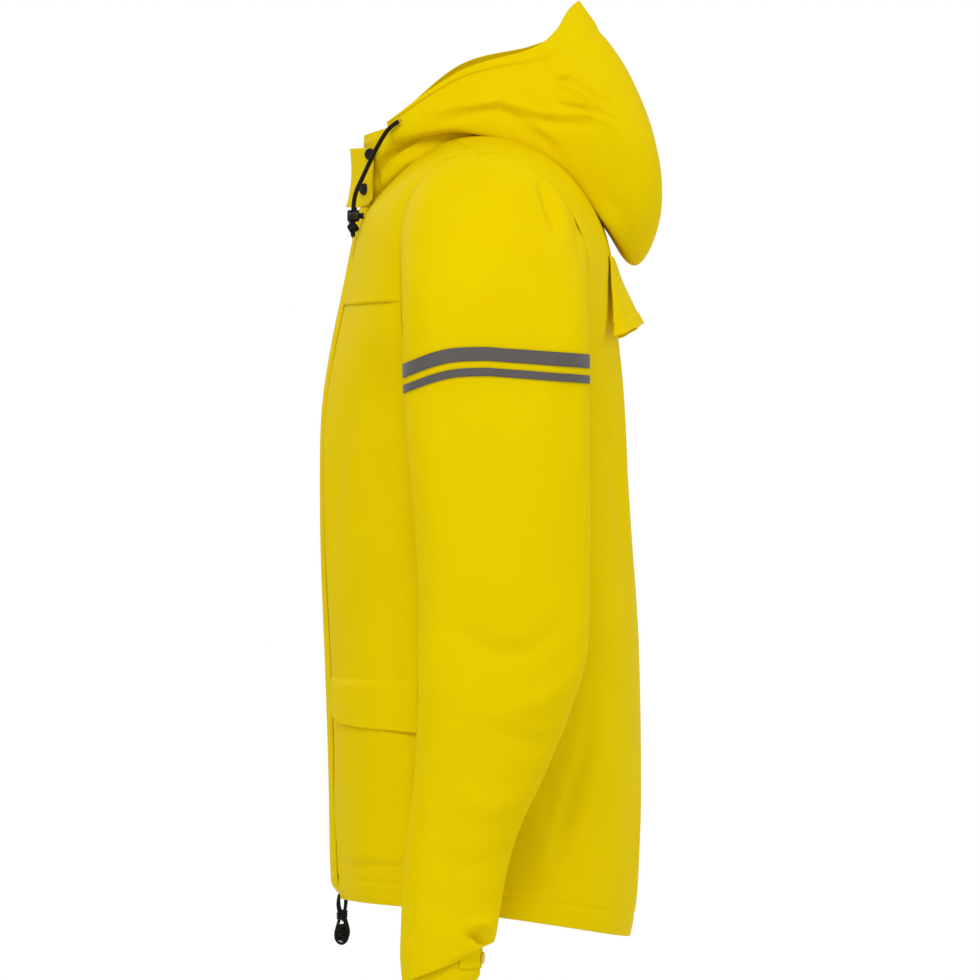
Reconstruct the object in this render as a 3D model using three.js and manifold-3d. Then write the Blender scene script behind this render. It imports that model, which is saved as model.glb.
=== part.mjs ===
// Foul weather jacket with a stand collar, a hood worn down, a storm flap over the zip,
// yokes, a back cape, patch pockets and set-in sleeves.
// Millimetres. +X is the wearer's left, -Y the front, +Z up. The origin is the middle of
// the neck opening, on the shoulder line.
import * as THREE from 'three';
import { mergeVertices } from 'three/addons/utils/BufferGeometryUtils.js';
import Module from 'manifold-3d';

const wasm = await Module();
wasm.setup();

// cloth and clearances
const cloth = 1.6;
const sewnGap = 1.4;
const seamGap = 0.5;
const flapClearance = 4.2;

// body
const hemFront = -752;
const hemBack = -789;
const hemSide = -763;
const bodyHalfWidth = 225;
const backReach = 162;
const armpitLevel = -245;
const armPlane = bodyHalfWidth + 4;
const armholeBulge = 42;
const neckHalfWidth = 84;
const neckFrontLevel = -64;
const neckBackLevel = 8;
const neckBackReach = 62;
const bodySquareness = 0.8;
const neckSquareness = 0.94;

// centre front: one circular arc from the neck to the hem, which the zip runs along
const frontReach = 155.5;
const frontRadius = 2357;
const frontLevel = -486;

// sleeve
const sleeveThickness = 118;
const sleeveGap = 2;
const sleeveEnd = -776;
const cuffEnd = -833;
const wideBand = 13.5;
const narrowBand = 8;
const bandLevel = -213;
const bandStandOff = 3.2;
const bandDip = 15;
const sleeveTurns = 20;
const bandGap = 7;

// collar and throat tab
const collarFront = 17;
const collarBack = 46;
const collarWall = 3;
const tabTop = 4;
const tabFoot = -51;
const snapRadius = 6;
const snapHeight = 2.4;

// storm flap, zip and placket
const flapRight = -34;
const flapLeft = 36;
const zipOpening = 8;
const chainWidth = 5.2;
const chainSlot = 3;
const chainDepth = 2.4;
const sliderLength = 18;
const sliderPlate = 1.4;

// yokes, cape and pockets
const yokeSection = 6.5;
const capeStandOff = 22;
const pocketDepth = 9;
const pocketFlapHeight = 62;

// cords
const hoodCordDiameter = 4.5;
const hemCordDiameter = 3;
const cordLockWidth = 15;

const group = new THREE.Group();

const yellow = { color: 0xe9ce0a, roughness: 0.5, metalness: 0 };
const deepYellow = { color: 0xd9bd08, roughness: 0.5, metalness: 0 };
const black = { color: 0x1c1712, roughness: 0.45, metalness: 0 };
const tape = { color: 0x686364, roughness: 0.35, metalness: 0 };
const metal = { color: 0x9a9a98, roughness: 0.35, metalness: 0.9 };

function add(name, geometry, finish) {
  const mesh = new THREE.Mesh(geometry, new THREE.MeshStandardMaterial(finish));
  mesh.name = name;
  group.add(mesh);
  return mesh;
}

const lerp = THREE.MathUtils.lerp;
const power = (value, exponent) => Math.sign(value) * Math.abs(value) ** exponent;
const smooth = (t) => THREE.MathUtils.smoothstep(t, 0, 1);

// a smooth value through evenly spaced rows of numbers
function throughRows(rows, at, item) {
  const last = rows.length - 1;
  const place = THREE.MathUtils.clamp(at, 0, last);
  const i = Math.min(Math.floor(place), last - 1);
  const t = place - i;
  const [a, b, c, d] = [i - 1, i, i + 1, i + 2].map((k) => rows[Math.min(Math.max(k, 0), last)][item]);
  const bend = 2 * a - 5 * b + 4 * c - d;
  const twist = 3 * b - a - 3 * c + d;
  return 0.5 * (2 * b + (c - a) * t + bend * t ** 2 + twist * t ** 3);
}

function normalAt(point, u, v) {
  const step = 1e-4;
  const along = point(u + step, v).sub(point(u - step, v));
  const up = point(u, v + step).sub(point(u, v - step));
  return along.cross(up).normalize();
}

// A sheet of cloth as a closed solid: point(u, v) is its face, and outer and inner are how far its
// two skins stand off that face. A ring closes on itself in u.
function sheet({ point, across, up, outer, inner, ring = false, flip = 1 }) {
  const columns = ring ? across : across + 1;
  const layers = [outer, inner].map((offset) => (typeof offset === 'function' ? offset : () => offset));
  const positions = [];
  for (const offset of layers) {
    for (let j = 0; j <= up; j += 1) {
      for (let i = 0; i < columns; i += 1) {
        const u = i / across;
        const v = j / up;
        const place = point(u, v).addScaledVector(normalAt(point, u, v), flip * offset(u, v));
        positions.push(place.x, place.y, place.z);
      }
    }
  }
  const id = (layer, i, j) => (layer * (up + 1) + j) * columns + (i % columns);
  const faces = [];
  const quad = (a, b, c, d) => faces.push(a, b, c, a, c, d);
  for (let j = 0; j < up; j += 1) {
    for (let i = 0; i < across; i += 1) {
      quad(id(0, i, j), id(0, i + 1, j), id(0, i + 1, j + 1), id(0, i, j + 1));
      quad(id(1, i, j), id(1, i, j + 1), id(1, i + 1, j + 1), id(1, i + 1, j));
    }
  }
  for (let i = 0; i < across; i += 1) {
    quad(id(0, i, 0), id(1, i, 0), id(1, i + 1, 0), id(0, i + 1, 0));
    quad(id(0, i, up), id(0, i + 1, up), id(1, i + 1, up), id(1, i, up));
  }
  for (let j = 0; j < up && !ring; j += 1) {
    quad(id(0, 0, j), id(0, 0, j + 1), id(1, 0, j + 1), id(1, 0, j));
    quad(id(0, across, j), id(1, across, j), id(1, across, j + 1), id(0, across, j + 1));
  }
  return outward(positions, faces);
}

// the solid with its faces turned out, whichever way round it was made
function outward(positions, faces) {
  let volume = 0;
  const corner = (k) => new THREE.Vector3().fromArray(positions, 3 * k);
  for (let k = 0; k < faces.length; k += 3) {
    const [a, b, c] = [corner(faces[k]), corner(faces[k + 1]), corner(faces[k + 2])];
    volume += a.dot(b.cross(c));
  }
  const geometry = new THREE.BufferGeometry();
  geometry.setAttribute('position', new THREE.Float32BufferAttribute(positions, 3));
  geometry.setIndex(volume < 0 ? faces.slice().reverse() : faces);
  return geometry;
}

const mirrorX = (point, side) => (u, v) => {
  const place = point(u, v);
  place.x *= side;
  return place;
};

// ---- body surface ----
const frontLine = (z) => frontRadius - frontReach - Math.sqrt(frontRadius ** 2 - (z - frontLevel) ** 2);
const waistLevel = (share) => lerp(armpitLevel, hemSide, share);

// each row is a girth: front height, back height, side height, half width, back reach
const girths = [
  [hemFront, hemBack, hemSide, bodyHalfWidth + 3, backReach - 12],
  [waistLevel(0.76), waistLevel(0.78), waistLevel(0.77), bodyHalfWidth + 1, backReach],
  [waistLevel(0.49), waistLevel(0.49), waistLevel(0.49), bodyHalfWidth, backReach - 2],
  [waistLevel(0.28), waistLevel(0.28), waistLevel(0.28), bodyHalfWidth, backReach - 9],
  [waistLevel(0.1), waistLevel(0.1), waistLevel(0.1), bodyHalfWidth + 1, backReach - 14],
  [armpitLevel, armpitLevel, armpitLevel, armPlane - seamGap, backReach - 17],
  [-190, -190, -190, armPlane + armholeBulge * 0.7, backReach - 23],
  [-135, -138, -132, armPlane + armholeBulge, backReach - 28],
  [-95, -105, -72, armPlane + armholeBulge * 0.85, backReach - 32],
  [-78, -62, -20, armPlane - seamGap, backReach - 50],
  [-70, -18, -2, lerp(armPlane, neckHalfWidth, 0.52), backReach - 74],
  [neckFrontLevel, neckBackLevel, 12, neckHalfWidth, neckBackReach],
];
const neckSection = girths.length - 1;
const halfWidthAt = (section) => throughRows(girths, section, 3);

const squareness = (section) =>
  lerp(bodySquareness, neckSquareness, THREE.MathUtils.smoothstep(section, 8, 10.5));

// the girths that the body panels' own rows of facets lie on
const panelRows = [0, 1, 2, 3, 4, 5, 5.5, 6, 6.5, 7, 7.5, 8, 8.5, 9, 9.5, 10, 10.5, neckSection];
function alongRows(from, to, v) {
  const [first, last] = [panelRows.indexOf(from), panelRows.indexOf(to)];
  const place = lerp(first, last, v);
  const i = THREE.MathUtils.clamp(Math.floor(place + 1e-9), 0, panelRows.length - 2);
  return lerp(panelRows[i], panelRows[i + 1], place - i);
}

function bodyPoint(turn, section) {
  const columns = [0, 1, 2, 3, 4];
  const [zFront, zBack, zSide, half, back] = columns.map((item) => throughRows(girths, section, item));
  const front = frontLine(zFront);
  const sideways = power(Math.cos(turn), squareness(section));
  const fore = power(Math.sin(turn), squareness(section));
  const middle = (zFront + zBack) / 2;
  return new THREE.Vector3(
    half * sideways,
    (front + back) / 2 + ((back - front) / 2) * fore,
    middle + ((zBack - zFront) / 2) * fore + (zSide - middle) * (1 - fore ** 2),
  );
}

// the turn at which a girth reaches a given x, and 0 where it is narrower than that
function turnAtX(section, x) {
  const share = x / halfWidthAt(section);
  return share >= 1 ? 0 : Math.acos(share ** (1 / squareness(section)));
}

// the turn from the side seam that leaves a given gap there
function seamTurn(section, gap) {
  const depth = (throughRows(girths, section, 4) - frontLine(throughRows(girths, section, 0))) / 2;
  return (gap / depth) ** (1 / squareness(section));
}

function sideTurn(section, gap, cut) {
  return Math.max(turnAtX(section, cut), seamTurn(section, gap));
}

// front body between a distance from the centre line and the side seam or armhole
function frontFace({ from, low, high, inset = 0, side }) {
  return mirrorX((u, v) => {
    const section = alongRows(low, high, v);
    const start = -turnAtX(section, from);
    const end = -sideTurn(section, seamGap / 2 + inset, armPlane - seamGap - inset);
    return bodyPoint(lerp(start, end, u), section);
  }, side);
}

function backFace({ low, high, inset = 0 }) {
  return (u, v) => {
    const section = alongRows(low, high, v);
    const edge = sideTurn(section, seamGap / 2 + inset, armPlane - seamGap - inset);
    return bodyPoint(lerp(edge, Math.PI - edge, u), section);
  };
}

function makeBody() {
  const panelSteps = panelRows.length - 1;
  for (const [name, side] of [['left', 1], ['right', -1]]) {
    const face = frontFace({ from: zipOpening, low: 0, high: neckSection, side });
    const panel = sheet({ point: face, across: 12, up: panelSteps, outer: 0, inner: -cloth, flip: side });
    add(`front_${name}_panel`, panel, yellow);
    const yoke = frontFace({ from: zipOpening, low: yokeSection, high: 10.5, inset: 2, side });
    add(`yoke_${name}`, sheet({
      point: yoke,
      across: 12,
      up: 8,
      outer: sewnGap + cloth,
      inner: sewnGap,
      flip: side,
    }), deepYellow);
  }
  const back = backFace({ low: 0, high: neckSection });
  add('back_panel', sheet({ point: back, across: 18, up: panelSteps, outer: 0, inner: -cloth }), yellow);
  const cape = backFace({ low: 6, high: 8, inset: 8 });
  const flare = (u, v) => 2.5 + capeStandOff * (1 - v) * Math.sin(Math.PI * u) ** 0.5;
  add('back_cape', sheet({
    point: cape,
    across: 18,
    up: 4,
    outer: (u, v) => flare(u, v) + cloth,
    inner: flare,
  }), yellow);
  // the channel lies inside the back panel, from just over its hem to a quarter of its first row
  const channel = (u, v) => back(u, (0.02 + 0.26 * v) / panelSteps);
  add('hem_channel', sheet({
    point: channel,
    across: 18,
    up: 1,
    outer: -cloth - sewnGap,
    inner: -cloth * 2 - sewnGap,
  }), deepYellow);
}

// ---- sleeves ----
// the sections at which the armhole's foot and head lie, where the girth crosses the arm plane
function armholeSection(low, high) {
  const reach = armPlane + sleeveGap;
  for (let step = 0; step < 40; step += 1) {
    const middle = (low + high) / 2;
    const wide = halfWidthAt(middle) > reach;
    [low, high] = wide === (halfWidthAt(high) > reach) ? [low, middle] : [middle, high];
  }
  return (low + high) / 2;
}
const armholeFoot = armholeSection(5, 6.5);
const armholeHead = armholeSection(7, 10);

// height over the pivot and place fore and aft, round the armhole: turn 0 is its foot, PI its head
function armhole(turn) {
  const section = lerp(armholeFoot, armholeHead, (1 - Math.cos(turn)) / 2);
  const reach = Math.min(1, (armPlane + sleeveGap) / halfWidthAt(section));
  const edge = Math.acos(reach ** (1 / squareness(section)));
  const place = bodyPoint(turn < Math.PI ? -edge : edge, section);
  return [place.z - armpitLevel, place.y];
}

// below the armpit, each row is level, front edge, back edge, inner side and thickness
const armRows = [
  [armpitLevel, -73, 108, 0, sleeveThickness],
  [-330, -67, 107.5, 1, sleeveThickness + 1],
  [-430, -60, 107.5, 2, sleeveThickness],
  [-510, -60, 106, 3, sleeveThickness - 3],
  [-580, -63, 80, 4, sleeveThickness - 10],
  [-650, -68, 54, 5, sleeveThickness - 20],
  [-715, -75, 28, 7, sleeveThickness - 30],
  [sleeveEnd, -79, 14, 9, sleeveThickness - 38],
  [cuffEnd, -76, -2, 12, sleeveThickness - 46],
];
const armRow = (name) => armRows.findIndex(([level]) => level === name);

function armRing(turn, row) {
  const [level, front, back, inner, thick] = [0, 1, 2, 3, 4].map((item) => throughRows(armRows, row, item));
  const outwards = (1 - power(Math.cos(turn), 0.85)) / 2;
  const fore = power(Math.sin(turn), 0.85);
  const across = armPlane + sleeveGap + inner + thick * outwards;
  return [across, (front + back) / 2 - ((back - front) / 2) * fore, level];
}

// v runs 0 to 1 from the armhole round the shoulder to level, and 1 to 2 down to the wrist
function armPoint(turn, v, wrist) {
  if (v >= 1) return new THREE.Vector3(...armRing(turn, (v - 1) * wrist));
  const bend = (v * Math.PI) / 2;
  const [height, place] = armhole(turn);
  const [x, y] = armRing(turn, 0);
  const share = smooth(v);
  const reach = lerp(height, x - armPlane - sleeveGap, share);
  return new THREE.Vector3(
    armPlane + sleeveGap + reach * Math.sin(bend),
    lerp(place, y, share),
    armpitLevel + reach * Math.cos(bend),
  );
}

// how far round the shoulder, or down from it, the arm reaches a height
function armAtLevel(turn, level, wrist) {
  let [low, high] = [0, 2];
  for (let step = 0; step < 30; step += 1) {
    const middle = (low + high) / 2;
    [low, high] = armPoint(turn, middle, wrist).z > level ? [middle, high] : [low, middle];
  }
  return low;
}

// a band runs round the outside of the arm, from the armhole seam at the front to that at the back
function makeBand(name, side, foot, width) {
  const wrist = armRow(sleeveEnd);
  const turns = Array.from({ length: sleeveTurns + 1 }, (_, i) => (i * 2 * Math.PI) / sleeveTurns);
  const kept = turns.filter((turn) => armhole(turn)[0] + armpitLevel > foot + width + bandStandOff);
  const face = (u, v) => {
    const turn = lerp(kept[0], kept[kept.length - 1], u);
    const dip = bandDip * Math.abs(Math.sin(turn)) ** 5 * (turn < Math.PI ? 1 : 0.6);
    const level = foot + width * v - dip;
    return armPoint(turn, armAtLevel(turn, level, wrist), wrist);
  };
  const shape = sheet({
    point: mirrorX(face, side),
    across: kept.length - 1,
    up: 1,
    outer: bandStandOff + 1,
    inner: bandStandOff,
    flip: side,
  });
  add(name, shape, tape);
}

function makeSleeve(name, side) {
  const wrist = armRow(sleeveEnd);
  const face = (u, v) => armPoint(u * 2 * Math.PI, v * 2, wrist);
  add(`sleeve_${name}`, sheet({
    point: mirrorX(face, side),
    across: sleeveTurns,
    up: 12,
    ring: true,
    outer: 0,
    inner: -cloth,
    flip: side,
  }), yellow);
  const cuffStart = wrist + seamGap / (sleeveEnd - cuffEnd);
  const cuffFace = (u, v) => new THREE.Vector3(...armRing(u * 2 * Math.PI, lerp(cuffStart, wrist + 1, v)));
  add(`cuff_${name}`, sheet({
    point: mirrorX(cuffFace, side),
    across: sleeveTurns,
    up: 2,
    ring: true,
    outer: 0.4,
    inner: -cloth - 1,
    flip: side,
  }), yellow);
}

// ---- small solids ----
function solidOf(geometry) {
  const bare = geometry.clone();
  bare.deleteAttribute('normal');
  bare.deleteAttribute('uv');
  const merged = mergeVertices(bare, 1e-4);
  const vertProperties = Float32Array.from(merged.attributes.position.array);
  const triVerts = Uint32Array.from(merged.index.array);
  return new wasm.Manifold(new wasm.Mesh({ numProp: 3, vertProperties, triVerts }));
}

function cut(geometry, ...tools) {
  const solid = tools.reduce((left, tool) => left.subtract(solidOf(tool)), solidOf(geometry));
  const { vertProperties, triVerts } = solid.getMesh();
  const result = new THREE.BufferGeometry();
  result.setAttribute('position', new THREE.BufferAttribute(vertProperties, 3));
  result.setIndex(new THREE.BufferAttribute(triVerts, 1));
  return result;
}

function roundedPlate(width, height, thickness, radius, holes = []) {
  const [x, y] = [width / 2, height / 2];
  const shape = new THREE.Shape();
  shape.moveTo(-x + radius, -y);
  shape.lineTo(x - radius, -y);
  shape.absarc(x - radius, -y + radius, radius, -Math.PI / 2, 0, false);
  shape.absarc(x - radius, y - radius, radius, 0, Math.PI / 2, false);
  shape.absarc(-x + radius, y - radius, radius, Math.PI / 2, Math.PI, false);
  shape.absarc(-x + radius, -y + radius, radius, Math.PI, Math.PI * 1.5, false);
  for (const [hx, hy, r] of holes) {
    const hole = new THREE.Path();
    hole.absarc(hx, hy, r, 0, Math.PI * 2, true);
    shape.holes.push(hole);
  }
  const solid = new THREE.ExtrudeGeometry(shape, { depth: thickness, bevelEnabled: false, curveSegments: 4 });
  return solid.translate(0, 0, -thickness / 2);
}

// turned about Z, from its back at z 0
function domedCap(radius, height) {
  const profile = [[0, 0], [radius, 0], [radius, height * 0.45], [radius * 0.78, height * 0.9], [0, height]];
  return new THREE.LatheGeometry(profile.map(([r, z]) => new THREE.Vector2(r, z)), 12).rotateX(Math.PI / 2);
}

function ringOf(inner, outer, height) {
  const profile = [[inner, 0], [outer, 0], [outer, height], [inner, height], [inner, 0]];
  return new THREE.LatheGeometry(profile.map(([r, z]) => new THREE.Vector2(r, z)), 12).rotateX(Math.PI / 2);
}

// stands a solid on a face, its Z along the face's normal, at a stand-off from it
function standOn(mesh, point, u, v, standOff, flip) {
  const normal = normalAt(point, u, v).multiplyScalar(flip);
  mesh.position.copy(point(u, v)).addScaledVector(normal, standOff);
  mesh.quaternion.setFromUnitVectors(new THREE.Vector3(0, 0, 1), normal);
}

function cordAlong(places, diameter, sides) {
  const stations = places.map((place) => new THREE.Vector3(...place));
  const path = new THREE.CatmullRomCurve3(stations, false, 'centripetal');
  const section = new THREE.Shape();
  section.absarc(0, 0, diameter / 2, 0, Math.PI * 2, false);
  const round = section.getSpacedPoints(sides).slice(0, sides);
  const steps = Math.ceil(path.getLength() / (diameter * 2));
  return new THREE.ExtrudeGeometry(new THREE.Shape(round), { extrudePath: path, steps, bevelEnabled: false });
}

// ---- collar and throat tab ----
const collarRows = [
  [
    neckFrontLevel + 2, neckBackLevel + 3, 15,
    neckHalfWidth - 5, frontLine(neckFrontLevel) + 4, neckBackReach - 5,
  ],
  [collarFront, collarBack, 36, neckHalfWidth - 8, frontLine(neckFrontLevel) + 1, neckBackReach - 10],
];
const collarSquareness = 0.9;

function collarPoint(turn, v) {
  const [zFront, zBack, zSide, half, front, back] = [0, 1, 2, 3, 4, 5].map(
    (item) => lerp(collarRows[0][item], collarRows[1][item], v),
  );
  const fore = power(Math.sin(turn), collarSquareness);
  const middle = (zFront + zBack) / 2;
  return new THREE.Vector3(
    half * power(Math.cos(turn), collarSquareness),
    (front + back) / 2 + ((back - front) / 2) * fore,
    middle + ((zBack - zFront) / 2) * fore + (zSide - middle) * (1 - fore ** 2),
  );
}

// the collar's face at a turn and a height
function collarAtLevel(turn, level) {
  const [foot, top] = [collarPoint(turn, 0).z, collarPoint(turn, 1).z];
  return collarPoint(turn, (level - foot) / (top - foot));
}

const degrees = Math.PI / 180;
const tabStart = -104 * degrees;
const tabEnd = -57 * degrees;
const tabStandOff = 3;
const tabThickness = 2.2;
const tabFace = (u, v) => {
  const turn = lerp(tabStart, tabEnd, u);
  const foot = Math.max(tabFoot, collarPoint(turn, 0).z + 3);
  return collarAtLevel(turn, lerp(foot, tabTop, v));
};

function makeCollar() {
  const opening = 0.012;
  const face = (u, v) => collarPoint(lerp(-Math.PI / 2 + opening, Math.PI * 1.5 - opening, u), v);
  add('collar', sheet({ point: face, across: 26, up: 2, outer: 0, inner: -collarWall }), yellow);
  add('throat_tab', sheet({
    point: tabFace,
    across: 8,
    up: 1,
    outer: tabStandOff + tabThickness,
    inner: tabStandOff,
  }), yellow);
  for (const [name, v] of [['upper', 0.88], ['lower', 0.24]]) {
    const across = name === 'upper' ? 0.88 : 0.72;
    standOn(add(`tab_snap_${name}`, domedCap(snapRadius, snapHeight), black), tabFace, across, v,
      tabStandOff + tabThickness + 0.4, 1);
    const stud = add(`collar_stud_${name}`, domedCap(snapRadius - 2, tabStandOff - 1.2), metal);
    standOn(stud, tabFace, across, v, 0.5, 1);
  }
  const loop = cordAlong([
    [-22, neckBackReach - 15, 16],
    [-18, neckBackReach - 20, 8],
    [0, neckBackReach - 22, 4],
    [18, neckBackReach - 20, 8],
    [22, neckBackReach - 15, 16],
  ], 3.4, 8);
  add('hanger_loop', loop, black);
}

// ---- storm flap and zip ----
const flapTop = neckFrontLevel + 6;
const centreFace = (left, right, low, high) => (u, v) => {
  const z = lerp(low, high, v);
  return new THREE.Vector3(lerp(left, right, u), frontLine(z), z);
};

// a piece on the zip's arc at a height, its -Y turned square to the arc
function onFront(mesh, level) {
  mesh.position.set(0, frontLine(level), level);
  mesh.rotation.x = -Math.asin((level - frontLevel) / frontRadius);
}

function makeFrontClosure() {
  const zipFoot = hemFront + 20;
  const zipHead = neckFrontLevel - 6;
  add('storm_flap', sheet({
    point: centreFace(flapRight, flapLeft, hemFront + 3, flapTop),
    across: 2,
    up: 14,
    outer: flapClearance + cloth,
    inner: flapClearance,
  }), yellow);
  for (const [name, side] of [['left', 1], ['right', -1]]) {
    add(`zip_chain_${name}`, sheet({
      point: centreFace((side * chainSlot) / 2, side * (chainSlot / 2 + chainWidth), zipFoot, zipHead),
      across: 1,
      up: 14,
      outer: -0.2,
      inner: -0.2 - chainDepth,
      flip: side,
    }), black);
  }
  const [half, post] = [zipOpening - 1.2, chainSlot / 2 - 0.6];
  const back = chainDepth + 0.8;
  const profile = new THREE.Shape([
    [-half, 0.6 + sliderPlate], [-half, 0.6], [-post, 0.6],
    [-post, -back], [-half, -back], [-half, -back - sliderPlate],
    [half, -back - sliderPlate], [half, -back], [post, -back],
    [post, 0.6], [half, 0.6], [half, 0.6 + sliderPlate],
  ].map(([x, y]) => new THREE.Vector2(x, -y)));
  const slider = new THREE.ExtrudeGeometry(profile, { depth: sliderLength, bevelEnabled: false });
  onFront(add('zip_slider', slider.translate(0, 0, -sliderLength / 2), metal), zipHead - sliderLength / 2);
  const pull = roundedPlate(6, 26, 1.2, 2.5, [[0, 8, 1.4]]).rotateX(Math.PI / 2);
  onFront(add('zip_pull', pull.translate(0, -0.6 - sliderPlate - 1, -12), metal), zipHead - sliderLength / 2);
  const stop = new THREE.BoxGeometry(2 * half, chainDepth + 1, 8);
  onFront(add('zip_stop', stop.translate(0, chainDepth / 2, 0), metal), zipFoot - 5);
  add('inner_placket', sheet({
    point: centreFace(-26, 26, hemFront + 6, neckFrontLevel - 26),
    across: 1,
    up: 14,
    outer: -chainDepth - sliderPlate - 2.4,
    inner: -chainDepth - sliderPlate - 2.4 - cloth,
  }), deepYellow);
}

// ---- patch pockets ----
// a panel of the front body by turns and sections, on the girth's own grid lines
const pocketTurns = [-78, -22];
const pocketSections = [0.5, 2];

function pocketFace(low, high, side) {
  return mirrorX((u, v) => {
    const turn = lerp(pocketTurns[0], pocketTurns[1], u) * degrees;
    return bodyPoint(turn, lerp(low, high, v));
  }, side);
}

function makePocket(name, side) {
  const face = pocketFace(pocketSections[0], pocketSections[1] - 0.42, side);
  const puff = (u, v) => sewnGap + pocketDepth * Math.sin(Math.PI * u) ** 0.6 * Math.min(1, v * 3);
  add(`pocket_${name}`, sheet({
    point: face,
    across: 10,
    up: 6,
    outer: (u, v) => puff(u, v) + cloth,
    inner: puff,
    flip: side,
  }), yellow);
  const flapHigh = pocketSections[1] - 0.18;
  const flapLow = flapHigh - pocketFlapHeight / 135;
  const cover = (u, v) => 2.4 + pocketDepth * Math.sin(Math.PI * u) ** 0.6 + 3.4 * (1 - v);
  add(`pocket_flap_${name}`, sheet({
    point: pocketFace(flapLow, flapHigh, side),
    across: 10,
    up: 2,
    outer: (u, v) => cover(u, v) + cloth,
    inner: cover,
    flip: side,
  }), yellow);
}

// ---- hood, worn down ----
// Each row is a rib from the neck seam under the pouch and up to the rim: the centre back first,
// then round the side to the front corner. The left half is given and the right is its mirror.
const hoodRibs = [
  [[0, 66, 18], [0, 100, -18], [0, 130, -66], [0, 157, -109],
    [0, 180, -62], [0, 178, 6], [0, 148, 80], [0, 98, 150]],
  [[34, 62, 18], [42, 94, -14], [48, 124, -58], [50, 148, -94],
    [54, 172, -50], [56, 170, 14], [48, 140, 80], [32, 88, 140]],
  [[64, 50, 18], [82, 84, -4], [90, 106, -40], [90, 126, -64],
    [92, 146, -28], [94, 142, 22], [84, 118, 72], [66, 74, 116]],
  [[84, 20, 20], [104, 40, 14], [114, 60, 6], [118, 78, 2],
    [120, 88, 20], [118, 84, 46], [110, 70, 74], [98, 48, 98]],
  [[88, -28, 22], [98, -26, 22], [106, -20, 24], [110, -14, 30],
    [111, -10, 40], [110, -9, 52], [106, -12, 65], [100, -18, 78]],
  [[71, -86, 8], [74, -86, 10], [77, -87, 13], [78, -88, 16],
    [78, -89, 19], [77, -90, 22], [75, -91, 25], [72, -93, 28]],
];
// share of the way round at which the pouch meets the side, and the slit of the seam between them
const hoodSplit = 0.66;
const hoodSeam = 0.014;

function hoodPoint(around, along) {
  const last = hoodRibs[0].length - 1;
  const places = hoodRibs.map((rib) => [0, 1, 2].map((item) => throughRows(rib, along * last, item)));
  const station = around * (places.length - 1);
  return new THREE.Vector3(...[0, 1, 2].map((item) => throughRows(places, station, item)));
}

function makeHood(name, side) {
  const pouch = mirrorX((u, v) => hoodPoint(lerp(hoodSeam, hoodSplit, u), v), side);
  const bag = sheet({ point: pouch, across: 8, up: 12, outer: 0, inner: cloth, flip: side });
  add(`hood_pouch_${name}`, bag, yellow);
  const front = mirrorX((u, v) => hoodPoint(lerp(hoodSplit + hoodSeam, 1, u), v), side);
  const panel = sheet({ point: front, across: 5, up: 8, outer: 0, inner: cloth, flip: side });
  add(`hood_side_${name}`, panel, yellow);
}

// ---- cords ----
function mirrored(route, side) {
  return route.map(([x, y, z]) => [side * x, y, z]);
}

const hoodCordRoute = [
  [87.2, -81.5, 29.5], [87, -87, 26], [85, -93.5, 19.5], [80.5, -103, 4], [76, -111, -12], [73, -118, -27],
  [71.5, -124, -40], [71, -126.4, -50], [71, -127, -60], [71, -127, -72], [71, -127.5, -86],
];
const cordLockPlace = [71, -127, -65];
const cordLockHeight = 12;
const plungerRadius = 2.5;
const hoodKnotDrop = 15;
const hoodEyeletPlace = [83.2, -81.4, 29.5];
const hemCordRoute = [
  [58, -142.8, -755.4], [58, -142, -762], [58, -141, -768], [58, -143, -777], [58, -145, -785],
  [58, -144, -792], [58, -139, -795.6], [58, -134, -792], [58, -133, -785], [58, -135, -777],
  [58, -137, -768], [58, -136, -762], [58, -135.2, -755.4],
];
// the hem cord's two ends come out of one plate under the hem, and a bead holds them lower down
const hemCordExit = [58, -139];
const hemExitSpread = 3.8;
const hemPlateDrop = 2.4;
const hemBeadDrop = 16;
const eyeletThickness = 1.2;
const cordPlay = 0.5;

function makeHoodCord(name, side) {
  add(`hood_cord_${name}`, cordAlong(mirrored(hoodCordRoute, side), hoodCordDiameter, 8), black);
  const bore = hoodCordDiameter / 2 + cordPlay;
  const eyelet = add(`hood_eyelet_${name}`, ringOf(bore, bore + 2.1, eyeletThickness), metal);
  const [eyeletX, eyeletY, eyeletZ] = hoodEyeletPlace;
  eyelet.position.set(side * eyeletX, eyeletY, eyeletZ);
  eyelet.rotation.y = side * 90 * degrees;

  const channel = bore + cordPlay;
  const passage = new THREE.CylinderGeometry(channel, channel, 40, 16).rotateX(Math.PI / 2);
  const wellRadius = plungerRadius + 0.4;
  const well = new THREE.CylinderGeometry(wellRadius, wellRadius, 10, 12).translate(0, 7.9, 0);
  const block = cut(roundedPlate(9, cordLockWidth, cordLockHeight, 3), passage, well);
  const lock = add(`cord_lock_${name}`, block, black);
  const [lockX, lockY, lockZ] = cordLockPlace;
  lock.position.set(side * lockX, lockY, lockZ);
  const plunger = new THREE.CylinderGeometry(plungerRadius, plungerRadius, 5, 12).translate(0, 7, 0);
  const button = add(`cord_lock_plunger_${name}`, plunger, black);
  button.position.copy(lock.position);
  const knot = add(`hood_cord_knot_${name}`, ringOf(hoodCordDiameter / 2 + 0.4, 5, 6), black);
  knot.position.set(side * lockX, lockY - 0.3, lockZ - hoodKnotDrop);
}

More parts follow.
